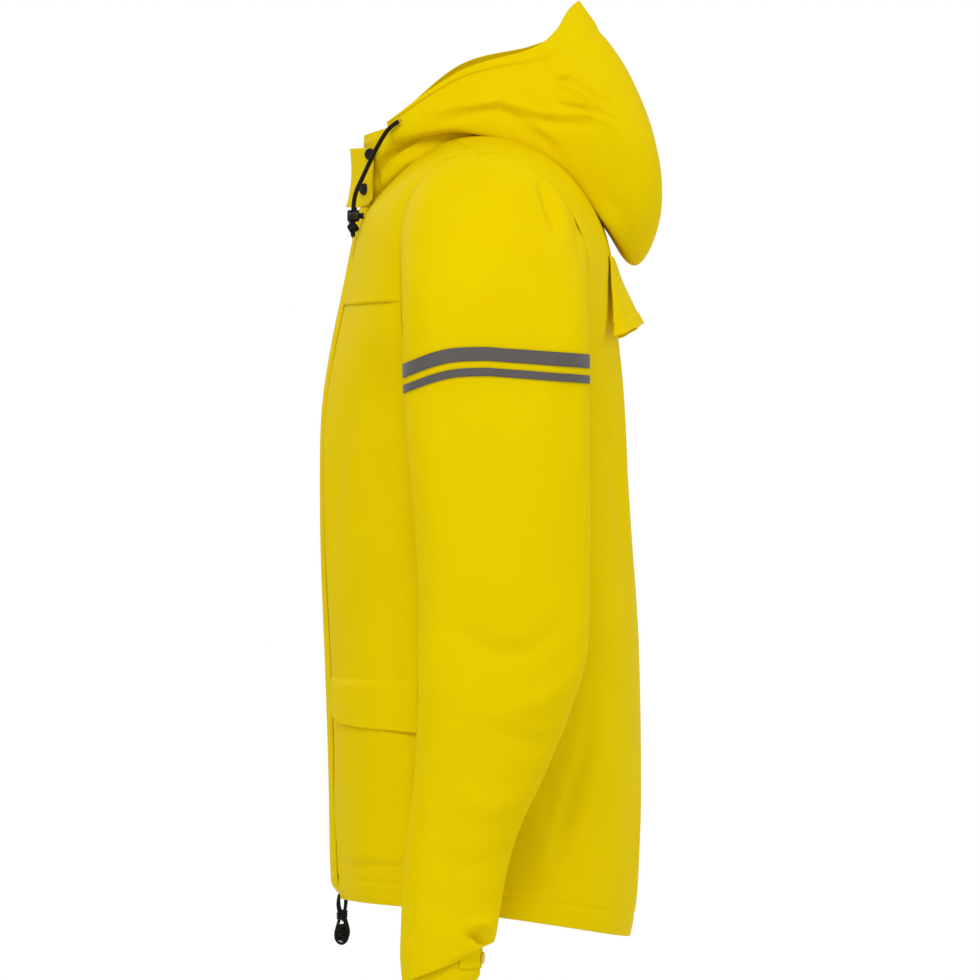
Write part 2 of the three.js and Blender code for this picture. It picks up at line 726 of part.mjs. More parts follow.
function makeHemCord(name, side) {
  add(`hem_cord_${name}`, cordAlong(mirrored(hemCordRoute, side), hemCordDiameter, 8), black);
  const [exitX, exitY] = hemCordExit;
  const hole = hemCordDiameter / 2 + cordPlay;
  const holes = [[0, -hemExitSpread, hole], [0, hemExitSpread, hole]];
  const plate = add(`hem_eyelet_${name}`, roundedPlate(9, 17, eyeletThickness, 3.5, holes), metal);
  plate.position.set(side * exitX, exitY, hemFront - hemPlateDrop);
  const slot = roundedPlate(hemCordDiameter + 1.4, 9, 20, 2);
  const bead = add(`hem_cord_bead_${name}`, cut(roundedPlate(8, 13, 7, 3.5), slot), black);
  bead.position.set(side * exitX, exitY, hemFront - hemBeadDrop);
}

// ---- cuff tabs ----
const cuffTabTurns = [202, 268];
const cuffTabLevel = -800;
const cuffTabWidth = 20;

function makeCuffTab(name, side) {
  const start = armRow(sleeveEnd);
  const rowAt = (level) => start + (level - sleeveEnd) / (cuffEnd - sleeveEnd);
  const face = mirrorX((u, v) => {
    const turn = lerp(cuffTabTurns[0], cuffTabTurns[1], u) * degrees;
    return new THREE.Vector3(...armRing(turn, rowAt(cuffTabLevel + cuffTabWidth * (v - 0.5))));
  }, side);
  const shape = sheet({ point: face, across: 4, up: 1, outer: 5, inner: 3.6, flip: side });
  add(`cuff_tab_${name}`, shape, yellow);
  standOn(add(`cuff_snap_${name}`, domedCap(snapRadius, snapHeight), black), face, 0.84, 0.5, 5.7, side);
}

makeBody();
makeCollar();
makeFrontClosure();
for (const [name, side] of [['left', 1], ['right', -1]]) {
  makeSleeve(name, side);
  makeCuffTab(name, side);
  makeBand(`reflective_band_wide_${name}`, side, bandLevel, wideBand);
  makeBand(`reflective_band_narrow_${name}`, side, bandLevel - bandGap - narrowBand, narrowBand);
  makePocket(name, side);
  makeHood(name, side);
  makeHoodCord(name, side);
  makeHemCord(name, side);
}

export default group;
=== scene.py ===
import bpy
import numpy as np
from math import cos, pi, sin, tau
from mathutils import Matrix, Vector


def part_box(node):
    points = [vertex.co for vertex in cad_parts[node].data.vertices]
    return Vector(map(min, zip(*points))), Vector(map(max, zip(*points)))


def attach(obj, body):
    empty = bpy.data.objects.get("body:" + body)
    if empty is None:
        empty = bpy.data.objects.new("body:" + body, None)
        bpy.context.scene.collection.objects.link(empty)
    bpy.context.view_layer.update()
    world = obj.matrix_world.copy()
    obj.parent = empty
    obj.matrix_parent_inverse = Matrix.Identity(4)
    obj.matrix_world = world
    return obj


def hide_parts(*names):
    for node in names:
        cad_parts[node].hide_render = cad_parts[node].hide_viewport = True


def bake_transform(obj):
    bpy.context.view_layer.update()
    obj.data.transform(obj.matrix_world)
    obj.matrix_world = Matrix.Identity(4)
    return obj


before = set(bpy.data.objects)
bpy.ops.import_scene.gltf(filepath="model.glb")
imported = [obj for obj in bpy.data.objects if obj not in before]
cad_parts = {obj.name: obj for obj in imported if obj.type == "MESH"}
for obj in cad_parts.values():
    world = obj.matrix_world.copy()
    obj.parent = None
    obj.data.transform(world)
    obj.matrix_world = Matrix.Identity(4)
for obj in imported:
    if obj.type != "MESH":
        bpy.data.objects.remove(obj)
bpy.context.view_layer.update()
mm = 0.001


def power(value, exponent):
    return np.sign(value) * np.abs(value) ** exponent


def smooth(value, low=0.0, high=1.0):
    t = np.clip((value - low) / (high - low), 0, 1)
    return t * t * (3 - 2 * t)


def throughRows(rows, at):
    # a smooth curve through evenly spaced rows of numbers
    rows = np.asarray(rows, float)
    at = np.clip(np.asarray(at, float), 0, len(rows) - 1)
    i = np.minimum(at.astype(int), len(rows) - 2)
    t = (at - i)[..., None]
    a, b, c, d = (rows[np.clip(i + k, 0, len(rows) - 1)] for k in (-1, 0, 1, 2))
    bend, twist = 2 * a - 5 * b + 4 * c - d, 3 * b - a - 3 * c + d
    return 0.5 * (2 * b + (c - a) * t + bend * t ** 2 + twist * t ** 3)


def mixed(a, b, t):
    return a + (b - a) * t


def unit(vectors):
    return vectors / np.maximum(np.linalg.norm(vectors, axis=-1, keepdims=True), 1e-9)


def gridNormals(places, ring):
    if ring:
        across = np.roll(places, -1, 1) - np.roll(places, 1, 1)
    else:
        across = np.gradient(places, axis=1)
    return unit(np.cross(across, np.gradient(places, axis=0)))


def foldDepth(flat, strokes):
    # soft ridges and hollows along drawn lines: each stroke is its points, width and height in mm
    depth = np.zeros(len(flat))
    for points, width, height in strokes:
        points = np.asarray(points, float)
        runs = np.linalg.norm(np.diff(points, axis=0), axis=1)
        before = np.concatenate([[0], np.cumsum(runs)])
        nearest = np.full(len(flat), 1e9)
        place = np.zeros(len(flat))
        for k, run in enumerate(runs):
            way = (points[k + 1] - points[k]) / run
            along = np.clip((flat - points[k]) @ way, 0, run)
            away = np.linalg.norm(flat - points[k] - along[:, None] * way, axis=1)
            closer = away < nearest
            nearest[closer] = away[closer]
            place[closer] = before[k] + along[closer]
        share = place / before[-1]
        depth += height * np.exp(-(nearest / width) ** 2) * np.sin(pi * np.clip(share * 0.9 + 0.05, 0, 1)) ** 0.7
    return depth


def ripples(places, seed, size, height, stretch=(1, 1, 1)):
    # slow, irregular unevenness of cloth that hangs: a few crossing waves of about one size
    random = np.random.default_rng(seed)
    total = np.zeros(places.shape[:-1])
    for _ in range(9):
        way = unit(random.normal(size=3)) * np.array(stretch)
        total += np.sin(places @ way * tau / (size * random.uniform(0.7, 1.6)) + random.uniform(0, tau))
    return total * height / 4.5


def linear(hexColour):
    parts = [int(hexColour[i:i + 2], 16) / 255 for i in (1, 3, 5)]
    return tuple(p / 12.92 if p <= 0.04045 else ((p + 0.055) / 1.055) ** 2.4 for p in parts) + (1,)


def addNode(tree, kind, settings=None, links=None):
    # settings go to the node's own properties or, by name or number, to its inputs
    node = tree.nodes.new(kind)
    for key, value in (settings or {}).items():
        if isinstance(key, str) and hasattr(node, key):
            setattr(node, key, value)
        else:
            node.inputs[key].default_value = value
    for key, source in (links or {}).items():
        tree.links.new(source, node.inputs[key])
    return node


def newMaterial(name, colour, roughness, metallic=0.0, sockets=None):
    material = bpy.data.materials.new(name)
    material.use_nodes = True
    tree = material.node_tree
    shader = tree.nodes["Principled BSDF"]
    shader.inputs["Base Color"].default_value = linear(colour)
    shader.inputs["Roughness"].default_value = roughness
    shader.inputs["Metallic"].default_value = metallic
    for key, value in (sockets or {}).items():
        shader.inputs[key].default_value = value
    return material, tree, shader


coatedCloth = {
    "lit": "#E6CB03",
    "deep": "#DFC202",
    "sheen": "#FFE83C",
    "mottle": 70,  # mm, slow drift between the two yellows
    "roughness": 0.46,
    "gloss": 0.004,
    "grain": 0.9,  # mm, the coating's leathery grain, drawn coarser than the real 0.3 mm so that it shows
    "crinkle": 26,  # mm, soft unevenness that is left after packing
}


def makeCoatedCloth(name, lit, deep):
    # polyurethane on a knitted backing: smooth, satin, slightly leathery, with a faint crinkle
    m = coatedCloth
    material, tree, shader = newMaterial(name, lit, m["roughness"], sockets={
        "Specular IOR Level": m["gloss"], "Specular Tint": linear(m["sheen"])})
    place = addNode(tree, "ShaderNodeTexCoord").outputs["Object"]
    mottle = addNode(tree, "ShaderNodeTexNoise", {"Scale": 1 / (m["mottle"] * mm), "Detail": 3}, {"Vector": place})
    tone = addNode(tree, "ShaderNodeMix", {"data_type": "RGBA", 6: linear(deep), 7: linear(lit)},
                   {0: mottle.outputs["Fac"]})
    tree.links.new(tone.outputs[2], shader.inputs["Base Color"])
    rough = addNode(tree, "ShaderNodeMapRange", {3: m["roughness"] - 0.06, 4: m["roughness"] + 0.08},
                    {0: mottle.outputs["Fac"]})
    tree.links.new(rough.outputs[0], shader.inputs["Roughness"])
    grain = addNode(tree, "ShaderNodeTexVoronoi", {"Scale": 1 / (m["grain"] * mm)}, {"Vector": place})
    crinkle = addNode(tree, "ShaderNodeTexNoise", {"Scale": 1 / (m["crinkle"] * mm), "Detail": 4, "Roughness": 0.45},
                      {"Vector": place})
    fine = addNode(tree, "ShaderNodeBump", {"Strength": 0.08, "Distance": 0.15 * mm},
                   {"Height": grain.outputs["Distance"]})
    soft = addNode(tree, "ShaderNodeBump", {"Strength": 0.35, "Distance": 2.2 * mm},
                   {"Height": crinkle.outputs["Fac"], "Normal": fine.outputs[0]})
    tree.links.new(soft.outputs[0], shader.inputs["Normal"])
    return material


def makeReflectiveTape():
    # glass-bead tape: flat grey, with a fine sparkle of beads
    material, tree, shader = newMaterial("glassBeadTape", "#5B5855", 0.42, sockets={"Specular IOR Level": 0.2})
    place = addNode(tree, "ShaderNodeTexCoord").outputs["Object"]
    beads = addNode(tree, "ShaderNodeTexVoronoi", {"Scale": 1 / (0.8 * mm)}, {"Vector": place})
    tone = addNode(tree, "ShaderNodeMix", {"data_type": "RGBA", 6: linear("#504D4B"), 7: linear("#64605E")},
                   {0: beads.outputs["Distance"]})
    tree.links.new(tone.outputs[2], shader.inputs["Base Color"])
    bump = addNode(tree, "ShaderNodeBump", {"Strength": 0.2, "Distance": 0.1 * mm},
                   {"Height": beads.outputs["Distance"]})
    tree.links.new(bump.outputs[0], shader.inputs["Normal"])
    return material


def makeBraid():
    # braided polyester cord: matt black, crossed strands about 1.2 mm wide
    material, tree, shader = newMaterial("braidedPolyester", "#110D0A", 0.7, sockets={"Specular IOR Level": 0.22})
    place = addNode(tree, "ShaderNodeTexCoord").outputs["Object"]
    strands = addNode(tree, "ShaderNodeTexWave", {"Scale": 1 / (2.4 * mm), "bands_direction": "DIAGONAL"},
                      {"Vector": place})
    bump = addNode(tree, "ShaderNodeBump", {"Strength": 0.5, "Distance": 0.3 * mm},
                   {"Height": strands.outputs["Fac"]})
    tree.links.new(bump.outputs[0], shader.inputs["Normal"])
    return material


def makeMoulded(name, colour, roughness, metallic=0.0, specular=0.5):
    # moulded, plated or enamelled: even colour with faint cloudy wear in the gloss
    material, tree, shader = newMaterial(name, colour, roughness, metallic, {"Specular IOR Level": specular})
    place = addNode(tree, "ShaderNodeTexCoord").outputs["Object"]
    cloud = addNode(tree, "ShaderNodeTexNoise", {"Scale": 1 / (4 * mm), "Detail": 5}, {"Vector": place})
    gloss = addNode(tree, "ShaderNodeMapRange", {3: roughness - 0.08, 4: roughness + 0.12}, {0: cloud.outputs["Fac"]})
    tree.links.new(gloss.outputs[0], shader.inputs["Roughness"])
    return material


yellowCloth = makeCoatedCloth("coatedKnitYellow", coatedCloth["lit"], coatedCloth["deep"])
innerCloth = makeCoatedCloth("coatedKnitInside", "#DEC510", "#D4B80A")
tapeGrey = makeReflectiveTape()
tapeEdge = makeMoulded("tapeStitchedEdge", "#4A464A", 0.6)
blackCord = makeBraid()
blackAcetal = makeMoulded("mouldedAcetal", "#191614", 0.4, specular=0.3)
blackEnamel = makeMoulded("enamelledBrass", "#15100D", 0.34, specular=0.25)
yellowEnamel = makeMoulded("yellowEnamelledBrass", "#DDBF06", 0.34)
nickel = makeMoulded("nickelPlatedBrass", "#B9B7B2", 0.3, 1.0)
print("materials made")


def addPiece(name, data, material, ridesOn, replaced):
    data.materials.append(material)
    piece = bpy.data.objects.new(name, data)
    bpy.context.collection.objects.link(piece)
    if ridesOn:
        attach(piece, ridesOn)
    if replaced:
        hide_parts(*replaced)
    return piece


def newPiece(name, points, faces, material, ridesOn, replaced=()):
    mesh = bpy.data.meshes.new(name)
    mesh.from_pydata((np.asarray(points) * mm).tolist(), [], faces)
    mesh.validate()
    mesh.polygons.foreach_set("use_smooth", [True] * len(mesh.polygons))
    return addPiece(name, mesh, material, ridesOn, replaced)


def clothFaces(rows, columns, ring):
    # outer skin, inner skin and the rims between them, for two grids stacked one after the other
    size = rows * columns
    j, i = np.meshgrid(np.arange(rows - 1), np.arange(columns if ring else columns - 1), indexing="ij")
    k = (i + 1) % columns
    a, b, c, d = j * columns + i, j * columns + k, (j + 1) * columns + k, (j + 1) * columns + i
    outer = np.stack([a, b, c, d], -1).reshape(-1, 4)
    inner = np.stack([a, d, c, b], -1).reshape(-1, 4) + size
    i = np.arange(columns if ring else columns - 1)
    k = (i + 1) % columns
    last = (rows - 1) * columns
    foot = np.stack([i, i + size, k + size, k], -1)
    head = np.stack([last + i, last + k, last + k + size, last + i + size], -1)
    faces = [outer, inner, foot, head]
    if not ring:
        j = np.arange(rows - 1) * columns
        far = j + columns - 1
        faces.append(np.stack([j, j + columns, j + columns + size, j + size], -1))
        faces.append(np.stack([far, far + size, far + columns + size, far + columns], -1))
    return np.concatenate(faces)


def clothGrid(places, thickness, ring=False, lift=0.0, outwards=1):
    # the two skins of a cloth, on either side of a grid of points
    normals = gridNormals(places, ring) * outwards
    outer = places + normals * (np.asarray(lift)[..., None] if np.ndim(lift) else lift)
    inner = outer - normals * thickness
    points = np.concatenate([outer.reshape(-1, 3), inner.reshape(-1, 3)])
    faces = clothFaces(places.shape[0], places.shape[1], ring)
    if outwards < 0:
        faces = faces[:, ::-1]
    return points, faces.tolist()


def spread(columns, rows):
    return np.meshgrid(np.linspace(0, 1, columns), np.linspace(0, 1, rows))


def sided(places, side):
    return places * np.array([side, 1, 1])


# metres, but for the sensor: far off to one side, level with the jacket's middle
view = {"distance": 16.0, "centreY": 0.010, "centreZ": -0.340, "planeX": 0.12, "span": 0.980, "sensor": 36.0}


def makeCamera():
    camera = bpy.data.objects.new("camera", bpy.data.cameras.new("camera"))
    camera.data.sensor_width = view["sensor"]
    camera.data.lens = view["sensor"] * (view["distance"] - view["planeX"]) / view["span"]
    camera.location = (view["distance"], view["centreY"], view["centreZ"])
    camera.rotation_euler = (pi / 2, 0, pi / 2)
    bpy.context.collection.objects.link(camera)
    bpy.context.scene.camera = camera
    print("camera made")


hoodCord = {
    "diameter": 4.5,
    "route": [
        [87.2, -81.5, 29.5], [87, -87, 26], [85, -93.5, 19.5], [80.5, -103, 4], [76, -111, -12], [73, -118, -27],
        [71.5, -124, -40], [71, -126.4, -50], [71, -127, -60], [71, -127, -72], [71, -127.5, -86],
    ],
    "lock": (71, -127, -65),
    "knot": (71, -127.3, -77),
    "knotStrand": 3.6,
    "eyelet": (2.4, 3.9),  # bore and rim, as radii
}
hemCord = {
    "diameter": 3.0,
    "route": [
        [58, -142.8, -755.4], [58, -142, -762], [58, -141, -768], [58, -143, -777], [58, -145, -785],
        [58, -144, -792], [58, -139, -795.6], [58, -134, -792], [58, -133, -785], [58, -135, -777], [58, -137, -768],
        [58, -136, -762], [58, -135.2, -755.4],
    ],
    "bead": (58, -139, -768),
    "exits": ([58, -137.4, -748.6], [58, -131.8, -748.6]),
    "hidden": ([58, -141.6, -746.5], [58, -135.2, -746.5]),
    "tail": (58, -139, -785.5),
    "knotStrand": 2.6,
    "tailStrand": 3.6,
    "eyelet": (1.7, 2.7),
}


def curveThrough(points, count):
    # a centripetal curve through the points, and evenly spaced places on it
    points = np.asarray(points, float)
    points = np.concatenate([[2 * points[0] - points[1]], points, [2 * points[-1] - points[-2]]])
    knots = np.concatenate([[0], np.cumsum(np.linalg.norm(np.diff(points, axis=0), axis=1) ** 0.5)])
    dense = []
    for i in range(1, len(points) - 2):
        t0, t1, t2, t3 = knots[i - 1:i + 3]
        t = np.linspace(t1, t2, 40, endpoint=False)[:, None]
        p0, p1, p2, p3 = points[i - 1:i + 3]
        a1 = (t1 - t) / (t1 - t0) * p0 + (t - t0) / (t1 - t0) * p1
        a2 = (t2 - t) / (t2 - t1) * p1 + (t - t1) / (t2 - t1) * p2
        a3 = (t3 - t) / (t3 - t2) * p2 + (t - t2) / (t3 - t2) * p3
        b1 = (t2 - t) / (t2 - t0) * a1 + (t - t0) / (t2 - t0) * a2
        b2 = (t3 - t) / (t3 - t1) * a2 + (t - t1) / (t3 - t1) * a3
        dense.append((t2 - t) / (t2 - t1) * b1 + (t - t1) / (t2 - t1) * b2)
    dense = np.concatenate(dense + [points[-2:-1]])
    run = np.concatenate([[0], np.cumsum(np.linalg.norm(np.diff(dense, axis=0), axis=1))])
    at = np.linspace(0, run[-1], count)
    return np.stack([np.interp(at, run, dense[:, k]) for k in range(3)], -1), run[-1]


def newCurve(name, points, diameter, material, ridesOn, replaced=(), cyclic=False):
    curve = bpy.data.curves.new(name, "CURVE")
    curve.dimensions = "3D"
    curve.bevel_depth = diameter / 2 * mm
    curve.bevel_resolution = 5
    curve.use_fill_caps = True
    spline = curve.splines.new("POLY" if cyclic else "NURBS")
    spline.points.add(len(points) - 1)
    for point, place in zip(spline.points, np.asarray(points) * mm):
        point.co = (*place, 1)
    if not cyclic:
        spline.use_endpoint_u = True
        spline.order_u = 4
    spline.use_cyclic_u = cyclic
    return addPiece(name, curve, material, ridesOn, replaced)


body = {
    "thickness": 1.2,
    "armPlane": 229.0,
    "squareness": 0.8,
    "neckSquareness": 0.94,
    "hemDepth": 22.0,
    "zipHalf": 8.0,
    "zipArc": (2357.0, -155.5, -486.0),  # radius, foremost place and its height, of the line that the zip runs on
    "valley": (13.0, 30.0),  # the front dips to the zip between these distances from the centre line
    # each row is a girth: front height, back height, side height, half width, front and back reach, and
    # how much wider the back is, where the sleeve cuts the corner off
    "girths": [
        [-751, -788, -763, 225, -140, 151, 0],
        [-728, -742, -734, 227, -144, 158.5, 0],
        [-640, -640, -640, 226, -147, 162, 0],
        [-500, -500, -500, 225, -152, 160, 0],
        [-390, -390, -390, 225, -155.5, 152.5, 0],
        [-297, -297, -297, 226, -156, 147, 0],
        [-245, -245, -245, 229, -152.5, 144, 0],
        [-190, -190, -190, 250, -143, 139, 40],
        [-135, -138, -128, 262, -131, 134, 56],
        [-95, -105, -62, 269, -123.5, 132, 38],
        [-78, -62, -9, 240, -121, 119, 0],
        [-70, -18, 3, 156, -119.5, 93, 0],
        [-64, 8, 12, 84, -118, 62, 0],
    ],
}
neckSection = len(body["girths"]) - 1


def squareness(section):
    return mixed(body["squareness"], body["neckSquareness"], smooth(section, neckSection - 3, neckSection - 0.5))


def bodyPoint(turn, section):
    turn, section = np.broadcast_arrays(np.asarray(turn, float), np.asarray(section, float))
    zFront, zBack, zSide, half, front, back, wider = np.moveaxis(throughRows(body["girths"], section), -1, 0)
    half = half + np.where((turn > 0) & (turn < pi), wider, 0)
    sideways = power(np.cos(turn), squareness(section))
    fore = power(np.sin(turn), squareness(section))
    middle = (zFront + zBack) / 2
    return np.stack([
        half * sideways,
        (front + back) / 2 + (back - front) / 2 * fore,
        middle + (zBack - zFront) / 2 * fore + (zSide - middle) * (1 - fore ** 2),
    ], -1)


def turnAtX(section, x, back=False):
    girth = throughRows(body["girths"], section)
    share = np.clip(x / (girth[..., 3] + back * girth[..., 6]), 0, 1)
    return np.arccos(share ** (1 / squareness(section)))


bodyFolds = [
    ([(-106, -100), (-110, -111), (-115, -126)], 3.0, -9),
    ([(-98, -108), (-104, -128), (-108, -148)], 7, 2.2),
    # side view, fore and aft against height: the drag lines from the armhole and the lower back
    ([(112, -560), (104, -610), (88, -660), (74, -712)], 9, -5),
    ([(140, -330), (133, -430), (128, -540)], 16, 3),
    ([(120, -250), (138, -300), (147, -380)], 10, 2.5),
    ([(-118, -170), (-104, -260), (-100, -380)], 12, -2.5),
    ([(-96, -420), (-84, -540), (-80, -600)], 12, -4),
    ([(-132, -640), (-120, -690), (-104, -740)], 14, 2),
    ([(20, -600), (60, -680), (84, -750)], 16, 3),
]
frontFolds = [
    # front and back views, across against height
    ([(60, -200), (84, -330), (78, -470)], 22, 3),
    ([(150, -260), (120, -330), (96, -420)], 16, -3),
    ([(-70, -210), (-96, -320), (-88, -480)], 20, 3),
    ([(-160, -270), (-128, -350), (-104, -430)], 14, -3),
    ([(40, -620), (66, -690), (72, -745)], 14, 2.5),
    ([(-52, -600), (-74, -680), (-70, -748)], 14, 2.5),
]


def frontSection(level):
    rows = throughRows(body["girths"], np.linspace(0, neckSection, 800))
    return np.interp(level, rows[:, 0], np.linspace(0, neckSection, 800))


def zipLine(level):
    radius, reach, middle = body["zipArc"]
    return radius + reach - np.sqrt(radius ** 2 - (level - middle) ** 2)


def foldBody(places):
    flatSide = places[..., 1:].reshape(-1, 2)
    flatFront = places[..., [0, 2]].reshape(-1, 2)
    facing = np.abs(gridNormals(places, False)[..., 0]).reshape(-1)
    depth = foldDepth(flatSide, bodyFolds) * smooth(facing, 0.2, 0.8)
    depth += foldDepth(flatFront, frontFolds) * smooth(facing, 0.8, 0.3)
    depth = depth.reshape(places.shape[:2]) + ripples(places, 4, 170, 1.6, (1, 1, 0.5))
    high = smooth(places[..., 2], -290, -230)
    atArmhole = smooth(body["armPlane"] - np.abs(places[..., 0]), 3, 34)
    return depth * mixed(1, atArmhole, high) * smooth(places[..., 2], -60, -120)


def bodyGrid(kind, side, columns, rows, low=0.0, high=neckSection, inset=0.0, start=None):
    u, v = spread(columns, rows)
    section = mixed(low, high, v)
    if kind == "front":
        first = -turnAtX(section, start if start is not None else body["zipHalf"])
        last = -turnAtX(section, body["armPlane"] - inset)
    else:
        first = turnAtX(section, body["armPlane"] - inset, True)
        first = np.where(first < 0.006, -0.012, first)
        last = pi - first
    return sided(bodyPoint(mixed(first, last, u), section), side)


def hemRelief(places):
    # the hem is turned up and sewn, which leaves a shallow groove above it
    return -0.9 * np.exp(-((places[..., 2] - places[0][None, :, 2] - body["hemDepth"]) / 2.2) ** 2)


def dressed(places, side, hem=False):
    # a part of the body with its folds, and the dip along the zip
    depth = foldBody(places) + (hemRelief(places) if hem else 0)
    shaped = places + gridNormals(places, False) * side * depth[..., None]
    front = shaped[..., 1] < -60
    share = (1 - smooth(np.abs(shaped[..., 0]), *body["valley"])) * front
    shaped[..., 1] = mixed(shaped[..., 1], zipLine(shaped[..., 2]), share)
    return shaped


def edgeHem(v, height, width=0.16):
    # the turned-up edge of an overlay: a little thicker, with a sewn groove above it
    return height * (1 - smooth(v, width * 0.8, width)) - 0.5 * height * np.exp(-((v - width) / 0.02) ** 2)


def makeBody():
    for kind, name, side, node, slot in (("front", "frontLeft", 1, "front_left_panel", "shell"),
                                         ("front", "frontRight", -1, "front_right_panel", "shell"),
                                         ("back", "back", 1, "back_panel", "shell")):
        columns = 120 if kind == "front" else 220
        places = dressed(bodyGrid(kind, side, columns, 300), side, hem=True)
        replaced = [node, "hem_channel"] if kind == "back" else [node]
        points, faces = clothGrid(places, body["thickness"], outwards=side)
        piece = newPiece(name + "Cloth", points, faces, yellowCloth, "shell", replaced)
    print("body panels made")


yoke = {"low": 7.62, "high": 11.6, "start": 14, "standOff": 0.2, "hem": 0.25}
cape = {
    "low": -175.0,
    "sideDrop": 12.0,
    "top": -108.0,
    "standOff": 2.4,
    "flare": 24.0,  # how far its free edge stands off the back
    "inset": (66.0, 116.0),  # from the armholes to its sides, at its foot and its top
}


def makeYokes():
    for name, side in (("left", 1), ("right", -1)):
        places = dressed(bodyGrid("front", side, 90, 90, yoke["low"], yoke["high"], 0.3, yoke["start"]), side)
        u, v = spread(90, 90)
        lift = yoke["standOff"] + body["thickness"] + edgeHem(v, yoke["hem"])
        lift = mixed(lift, 0.15, np.maximum(smooth(u, 0.86, 1), smooth(v, 0.8, 1)))
        points, faces = clothGrid(places, body["thickness"], lift=lift, outwards=side)
        piece = newPiece(f"frontYoke{name.title()}", points, faces, yellowCloth, "shell", [f"yoke_{name}"])
    columns, rows = 160, 60
    u, v = spread(columns, rows)
    foot = cape["low"] - cape["sideDrop"] * np.abs(2 * u - 1) ** 2
    level = mixed(foot, cape["top"], v)
    backRows = throughRows(body["girths"], np.linspace(0, neckSection, 800))
    section = np.interp(level, backRows[:, 1], np.linspace(0, neckSection, 800))
    first = turnAtX(section, body["armPlane"] - mixed(*cape["inset"], v ** 0.8), True)
    places = dressed(bodyPoint(mixed(first, pi - first, u), section), 1)
    standing = np.clip(1 - v, 0, 1) ** 1.05 * (np.sin(pi * np.clip(u, 0.004, 0.996)) ** 0.3)
    waves = 1.2 * np.sin(u * 34) * (1 - v) * standing
    lift = cape["standOff"] + cape["flare"] * standing + waves + edgeHem(v, 0.8, 0.2)
    points, faces = clothGrid(places, body["thickness"], lift=lift)
    piece = newPiece("backCape", points, faces, yellowCloth, "cape", ["back_cape"])
    print("yokes and back cape made")


sleeve = {
    "gap": 0.6,
    "armpit": -245.0,
    "slope": 1.24,
    # below the armpit each row is level, front edge, back edge, inner side and thickness
    "rows": [
        [-245, -74, 108, 0, 118],
        [-330, -68, 107.5, 1, 119],
        [-420, -62, 107.5, 2, 118],
        [-500, -60, 106, 3, 115],
        [-560, -61, 88, 4, 110],
        [-620, -65, 64.5, 5, 102],
        [-680, -71, 38, 6, 93],
        [-730, -76, 24, 7, 87],
        [-776, -79.5, 14.5, 9, 82],
    ],
    "cuffRows": [
        [-772, -75.5, 2, 11.0, 78.5],
        [-788, -75.2, 2, 11.2, 77.5],
        [-803, -74.8, 1.5, 12, 75.5],
        [-818, -74.2, 0.5, 13, 73],
        [-833, -73.5, -2, 14, 70],
    ],
    "blouse": (51.0, 16.0),  # how far the sleeve hangs down over the cuff at its front and its back edge
    "seamAllowance": 5,
    "twist": ((229, -245), (269, -260)),  # sideways and height, where the cloth leaves the body and joins the sleeve
    "grid": (170, 460),
    "cuffGrid": (150, 60),
    "cuffWall": 2.6,
}


def armholeSections():
    sections = np.linspace(5, neckSection - 1, 4000)
    wide = throughRows(body["girths"], sections)[..., 3] > body["armPlane"] + sleeve["gap"]
    return sections[wide][0], sections[wide][-1]


armholeFoot, armholeHead = armholeSections()


def armhole(turn):
    section = mixed(armholeFoot, armholeHead, (1 - np.cos(turn)) / 2)
    foremost = -turnAtX(section, body["armPlane"] + sleeve["gap"])
    rearmost = turnAtX(section, body["armPlane"] + sleeve["gap"], True)
    place = bodyPoint(np.where(turn < pi, foremost, rearmost), section)
    return place[..., 2] - sleeve["armpit"], place[..., 1]


def armRing(turn, row, rows="rows"):
    level, front, back, inner, thick = np.moveaxis(throughRows(sleeve[rows], row), -1, 0)
    outwards = (1 - power(np.cos(turn), 0.85)) / 2
    fore = power(np.sin(turn), 0.85)
    x = body["armPlane"] + sleeve["gap"] + inner + thick * outwards
    return x, (front + back) / 2 - (back - front) / 2 * fore, level


def armPoint(turn, v):
    # v runs 0 to 1 from the armhole round the shoulder, and on by one for each row down the arm
    turn, v = np.broadcast_arrays(np.asarray(turn, float), np.asarray(v, float))
    bend = np.clip(v, 0, 1) * pi / 2
    height, place = armhole(turn)
    x0, y0, _ = armRing(turn, np.zeros_like(v))
    share = smooth(v)
    start = body["armPlane"] + sleeve["gap"]
    reach = mixed(height, x0 - start, share)
    # a little flatter than a round, so that the shoulder slopes
    across, up = np.sin(bend) ** sleeve["slope"], np.clip(np.cos(bend), 0, 1) ** sleeve["slope"]
    shoulder = np.stack([start + reach * across, mixed(place, y0, share), sleeve["armpit"] + reach * up], -1)
    x, y, level = armRing(turn, np.maximum(v - 1, 0))
    return np.where((v < 1)[..., None], shoulder, np.stack([x, y, level], -1))


